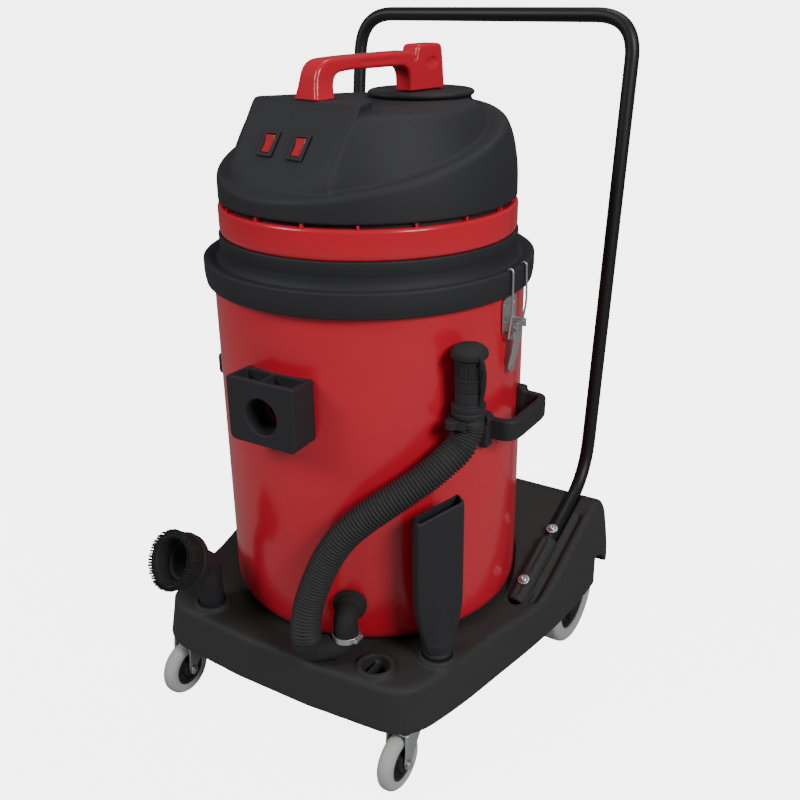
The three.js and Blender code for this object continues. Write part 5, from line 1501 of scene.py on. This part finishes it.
def add_caster(name, side, voxel):
    """A swivel caster: wheel, axle bolt, fork and top plate."""
    x, y = side * CASTER_AT[0], CASTER_AT[1]
    axle_at = (x, y - CASTER_TRAIL, CASTER_R)
    add_wheel("caster", name, f"caster_wheel_{name}", axle_at, CASTER_R, 24, (26, 24, 4.5, 3, 5))
    bolt = lathe(f"caster_bolt_{name}_turned", rounded([
        (0, -21.5, 0), (5, -21.5, 1.5), (6.5, -19, 1), (6.5, -17.4, 0.3), (4, -17.4, 0.2), (4, 17.4, 0.2),
        (6.8, 17.4, 0.3), (6.8, 20.6, 0.8), (4, 20.8, 0.3), (4, 21.4, 0.8), (0, 21.6, 0)],
        closed=False, steps=3), 48)
    bolt.data.transform(Matrix.Translation(axle_at) @ ROLL)
    settle(bolt, f"caster_{name}", "zinc", f"caster_bolt_{name}")
    fork = moulded(f"caster_fork_{name}_pressed", fork_distance, (-19, -44, 28), (19, 20, PAD_Z + 1), voxel)
    fork.data.transform(Matrix.Translation((x, y, 0)))
    settle(fork, f"caster_{name}", "zinc", f"caster_fork_{name}")
    plate = lathe(f"caster_plate_{name}_pressed", rounded([
        (5.5, PLATE_TOP - 5, 0.5), (15, PLATE_TOP - 5, 1.5), (16.5, PLATE_TOP - 3, 1.5),
        (19, PLATE_TOP - 3, 1), (19, PLATE_TOP, 0.6), (5.5, PLATE_TOP, 0.5)], steps=4), 72, ring=True)
    plate.data.transform(Matrix.Translation((x, y, 0)))
    settle(plate, "chassis", "zinc", f"caster_plate_{name}")


class VACUUM_OT_wheels(bpy.types.Operator):
    """Rear wheels and front swivel casters"""
    bl_idname = "vacuum.wheels"
    bl_label = "Wheels and casters"

    def execute(self, context):
        voxel = context.scene.vacuum_sizes.fitting_voxel * 0.8
        for name, side in RIGHT_AND_LEFT:
            add_wheel("rear", name, f"rear_wheel_{name}", (side * WHEEL_X, WHEEL_Y, WHEEL_R), WHEEL_R, 40,
                      (56, 36, 6.4, 5, 8))
            add_caster(name, side, voxel)
        return {"FINISHED"}


# ------------------------------------------------------------------ tools in the sockets
TOOL_R = 18.5
TOOL_FOOT = DECK_Z - SOCKET_DEPTH + GAP
BRUSH_ELBOW = Vector((*SOCKETS[1], DECK_Z + 74))
BRUSH_LOOK = Vector((-0.07, -0.87, 0.48)).normalized()
CUP_END = 52


def brush_at(reach):
    """A point this far out from the brush's bend, the way that it looks."""
    return tuple(BRUSH_ELBOW + BRUSH_LOOK * reach)


def brush_distance(x, y, z):
    """The round brush's neck, cup and rim."""
    bx, by = SOCKETS[1]
    course = rounded([(bx, by, TOOL_FOOT + 12, 0), (*BRUSH_ELBOW, 26), (*brush_at(30), 0)],
                     closed=False, steps=8)
    neck = melt(rope(x, y, z, course, TOOL_R),
                pin(x, y, z, (bx, by, TOOL_FOOT), (bx, by, TOOL_FOOT + 30), TOOL_R, 1), 1)
    cup = pin(x, y, z, brush_at(22), brush_at(40), TOOL_R, 2, 38)
    rim = pin(x, y, z, brush_at(37), brush_at(CUP_END), 38.5, 3, 40)
    bead = pin(x, y, z, brush_at(46), brush_at(CUP_END), 41.5, 2.4)
    shell = melt(melt(melt(neck, cup, 5), rim, 3), bead, 1.5)
    throat = pin(x, y, z, brush_at(30), brush_at(CUP_END + 8), 14, 1, 29)
    return less(shell, throat, 1.5)


def strands(sizes):
    """The brush's tufts, each a clump of tapered strands that splay outwards."""
    draw = random.Random(7)
    outermost, row_step, clump_size, strand_length, corners = 38.2, 2.9, 7, 26.4, 5
    side = BRUSH_LOOK.orthogonal().normalized()
    up = BRUSH_LOOK.cross(side)
    turns = [2 * math.pi * c / corners for c in range(corners)]
    points, faces = [], []
    for row in range(sizes.tuft_rows):
        ring_r = outermost - row_step * row
        count = round(sizes.tufts * ring_r / outermost)
        for k in range(count):
            clump = draw.uniform(-1.6, 1.0)
            for _ in range(clump_size):
                angle = 2 * math.pi * (k + 0.5 * (row % 2)) / count + draw.uniform(-0.03, 0.03)
                splay = 0.19 - 0.07 * row + draw.uniform(-0.03, 0.03)
                out = side * math.cos(angle) + up * math.sin(angle)
                start = Vector(brush_at(CUP_END + GAP)) + out * (ring_r + draw.uniform(-0.8, 0.8))
                reach = strand_length + clump + draw.uniform(-0.5, 0.5)
                tip = start + BRUSH_LOOK * reach + out * splay * 26
                lean = (tip - start).normalized()
                a = lean.orthogonal().normalized()
                b = lean.cross(a)
                base = len(points)
                for place, r in ((start, 0.8), (tip, 0.55)):
                    points += [tuple(place + (a * math.cos(t) + b * math.sin(t)) * r) for t in turns]
                far = base + corners
                faces += [(base + c, base + (c + 1) % corners, far + (c + 1) % corners, far + c)
                          for c in range(corners)]
                faces += [tuple(range(base, far)), tuple(range(far, far + corners))]
    return mesh_object("strands", points, faces)


def add_brush(sizes):
    """The round brush and its bristle ring."""
    bx, by = SOCKETS[1]
    body = moulded("round_brush_moulded", brush_distance, (bx - 52, by - 100, TOOL_FOOT - 1),
                   (bx + 50, by + 22, 318), sizes.fitting_voxel * 1.2)
    settle(body, "chassis", "black_shell", "round_brush_body")
    core = lathe("core", rounded([
        (29, CUP_END + GAP, 0.5), (38.6, CUP_END + GAP, 0.5), (42.6, 74, 2), (36.5, 77, 3), (31.5, 74, 2)],
        steps=3), 72, ring=True)
    core.data.transform(facing(*BRUSH_ELBOW, BRUSH_LOOK))
    tufts = join_meshes("round_brush_tufts", [core, strands(sizes)])
    settle(tufts, "chassis", "bristle", "round_brush_bristles")


def add_crevice_tool(sizes):
    """The flat crevice tool, hollow to its mouth."""
    tx, ty = SOCKETS[2]
    half, tall = 33, 400
    blade_line = rounded([
        (-TOOL_R, DECK_Z + 18, 4), (TOOL_R, DECK_Z + 18, 4), (half, DECK_Z + 78, 30), (half, tall + 8, 3),
        (-half, tall - 16, 3), (-half, DECK_Z + 78, 30)], steps=6)

    def distance(x, y, z):
        blade = both(outline_distance(x, z, blade_line), np.abs(y) - 12, 4)
        neck = pin(x, y, z, (0, 0, TOOL_FOOT), (0, 0, DECK_Z + 30), TOOL_R, 1)
        root = pin(x, y, z, (0, 0, DECK_Z + 26), (0, 0, DECK_Z + 92), TOOL_R, 2, 10)
        collar = pin(x, y, z, (0, 0, DECK_Z + 8), (0, 0, DECK_Z + 14), TOOL_R + 2, 1.5)
        whole = melt(melt(melt(neck, root, 2), blade, 7), collar, 1)
        air = brick(x, y, z, (-half + 4, -8.5, DECK_Z + 90), (half - 4, 8.5, tall + 30), 3)
        bore = pin(x, y, z, (0, 0, TOOL_FOOT - 5), (0, 0, DECK_Z + 40), TOOL_R - 3, 1)
        return less(less(whole, air, 1.5), bore, 1)

    tool = moulded("crevice_tool_moulded", distance, (-half - 2, -22, TOOL_FOOT - 1),
                   (half + 2, 22, tall + 10), sizes.fitting_voxel * 1.2)
    turn = Matrix.Rotation(math.atan2(tx, -ty), 4, "Z")
    tool.data.transform(Matrix.Translation((tx, ty, 0)) @ turn)
    settle(tool, "chassis", "black_shell", "crevice_tool")


class VACUUM_OT_tools(bpy.types.Operator):
    """Round brush with its tufts, and the crevice tool"""
    bl_idname = "vacuum.tools"
    bl_label = "Stowed tools"

    def execute(self, context):
        sizes = context.scene.vacuum_sizes
        add_brush(sizes)
        add_crevice_tool(sizes)
        return {"FINISHED"}


# ------------------------------------------------------------------ panel, registration and the run
STEPS = (
    VACUUM_OT_stage, VACUUM_OT_drain, VACUUM_OT_tank, VACUUM_OT_inlet, VACUUM_OT_tank_handles,
    VACUUM_OT_latches, VACUUM_OT_motor_deck, VACUUM_OT_cover, VACUUM_OT_carry_handle, VACUUM_OT_switches,
    VACUUM_OT_inner_pieces, VACUUM_OT_trolley, VACUUM_OT_push_handle, VACUUM_OT_wheels, VACUUM_OT_tools,
)


class VACUUM_PT_panel(bpy.types.Panel):
    """Lists the sizes, the colours and the steps that build the vacuum"""
    bl_idname = "VACUUM_PT_panel"
    bl_label = "Shop Vacuum"
    bl_space_type = "VIEW_3D"
    bl_region_type = "UI"
    bl_category = "Shop Vacuum"

    def draw(self, context):
        for settings in (context.scene.vacuum_sizes, context.scene.vacuum_colours):
            box = self.layout.box()
            for name in settings.__annotations__:
                box.prop(settings, name)
        for step in STEPS:
            self.layout.operator(step.bl_idname)


CLASSES = (VacuumSizes, VacuumColours, *STEPS, VACUUM_PT_panel)


def register():
    for item in CLASSES:
        bpy.utils.register_class(item)
    bpy.types.Scene.vacuum_sizes = PointerProperty(type=VacuumSizes)
    bpy.types.Scene.vacuum_colours = PointerProperty(type=VacuumColours)


def unregister():
    del bpy.types.Scene.vacuum_colours
    del bpy.types.Scene.vacuum_sizes
    for item in reversed(CLASSES):
        bpy.utils.unregister_class(item)


def main():
    """Registers the add-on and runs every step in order."""
    register()
    for step in STEPS:
        family, name = step.bl_idname.split(".")
        getattr(getattr(bpy.ops, family), name)()


if __name__ == "__main__":
    main()
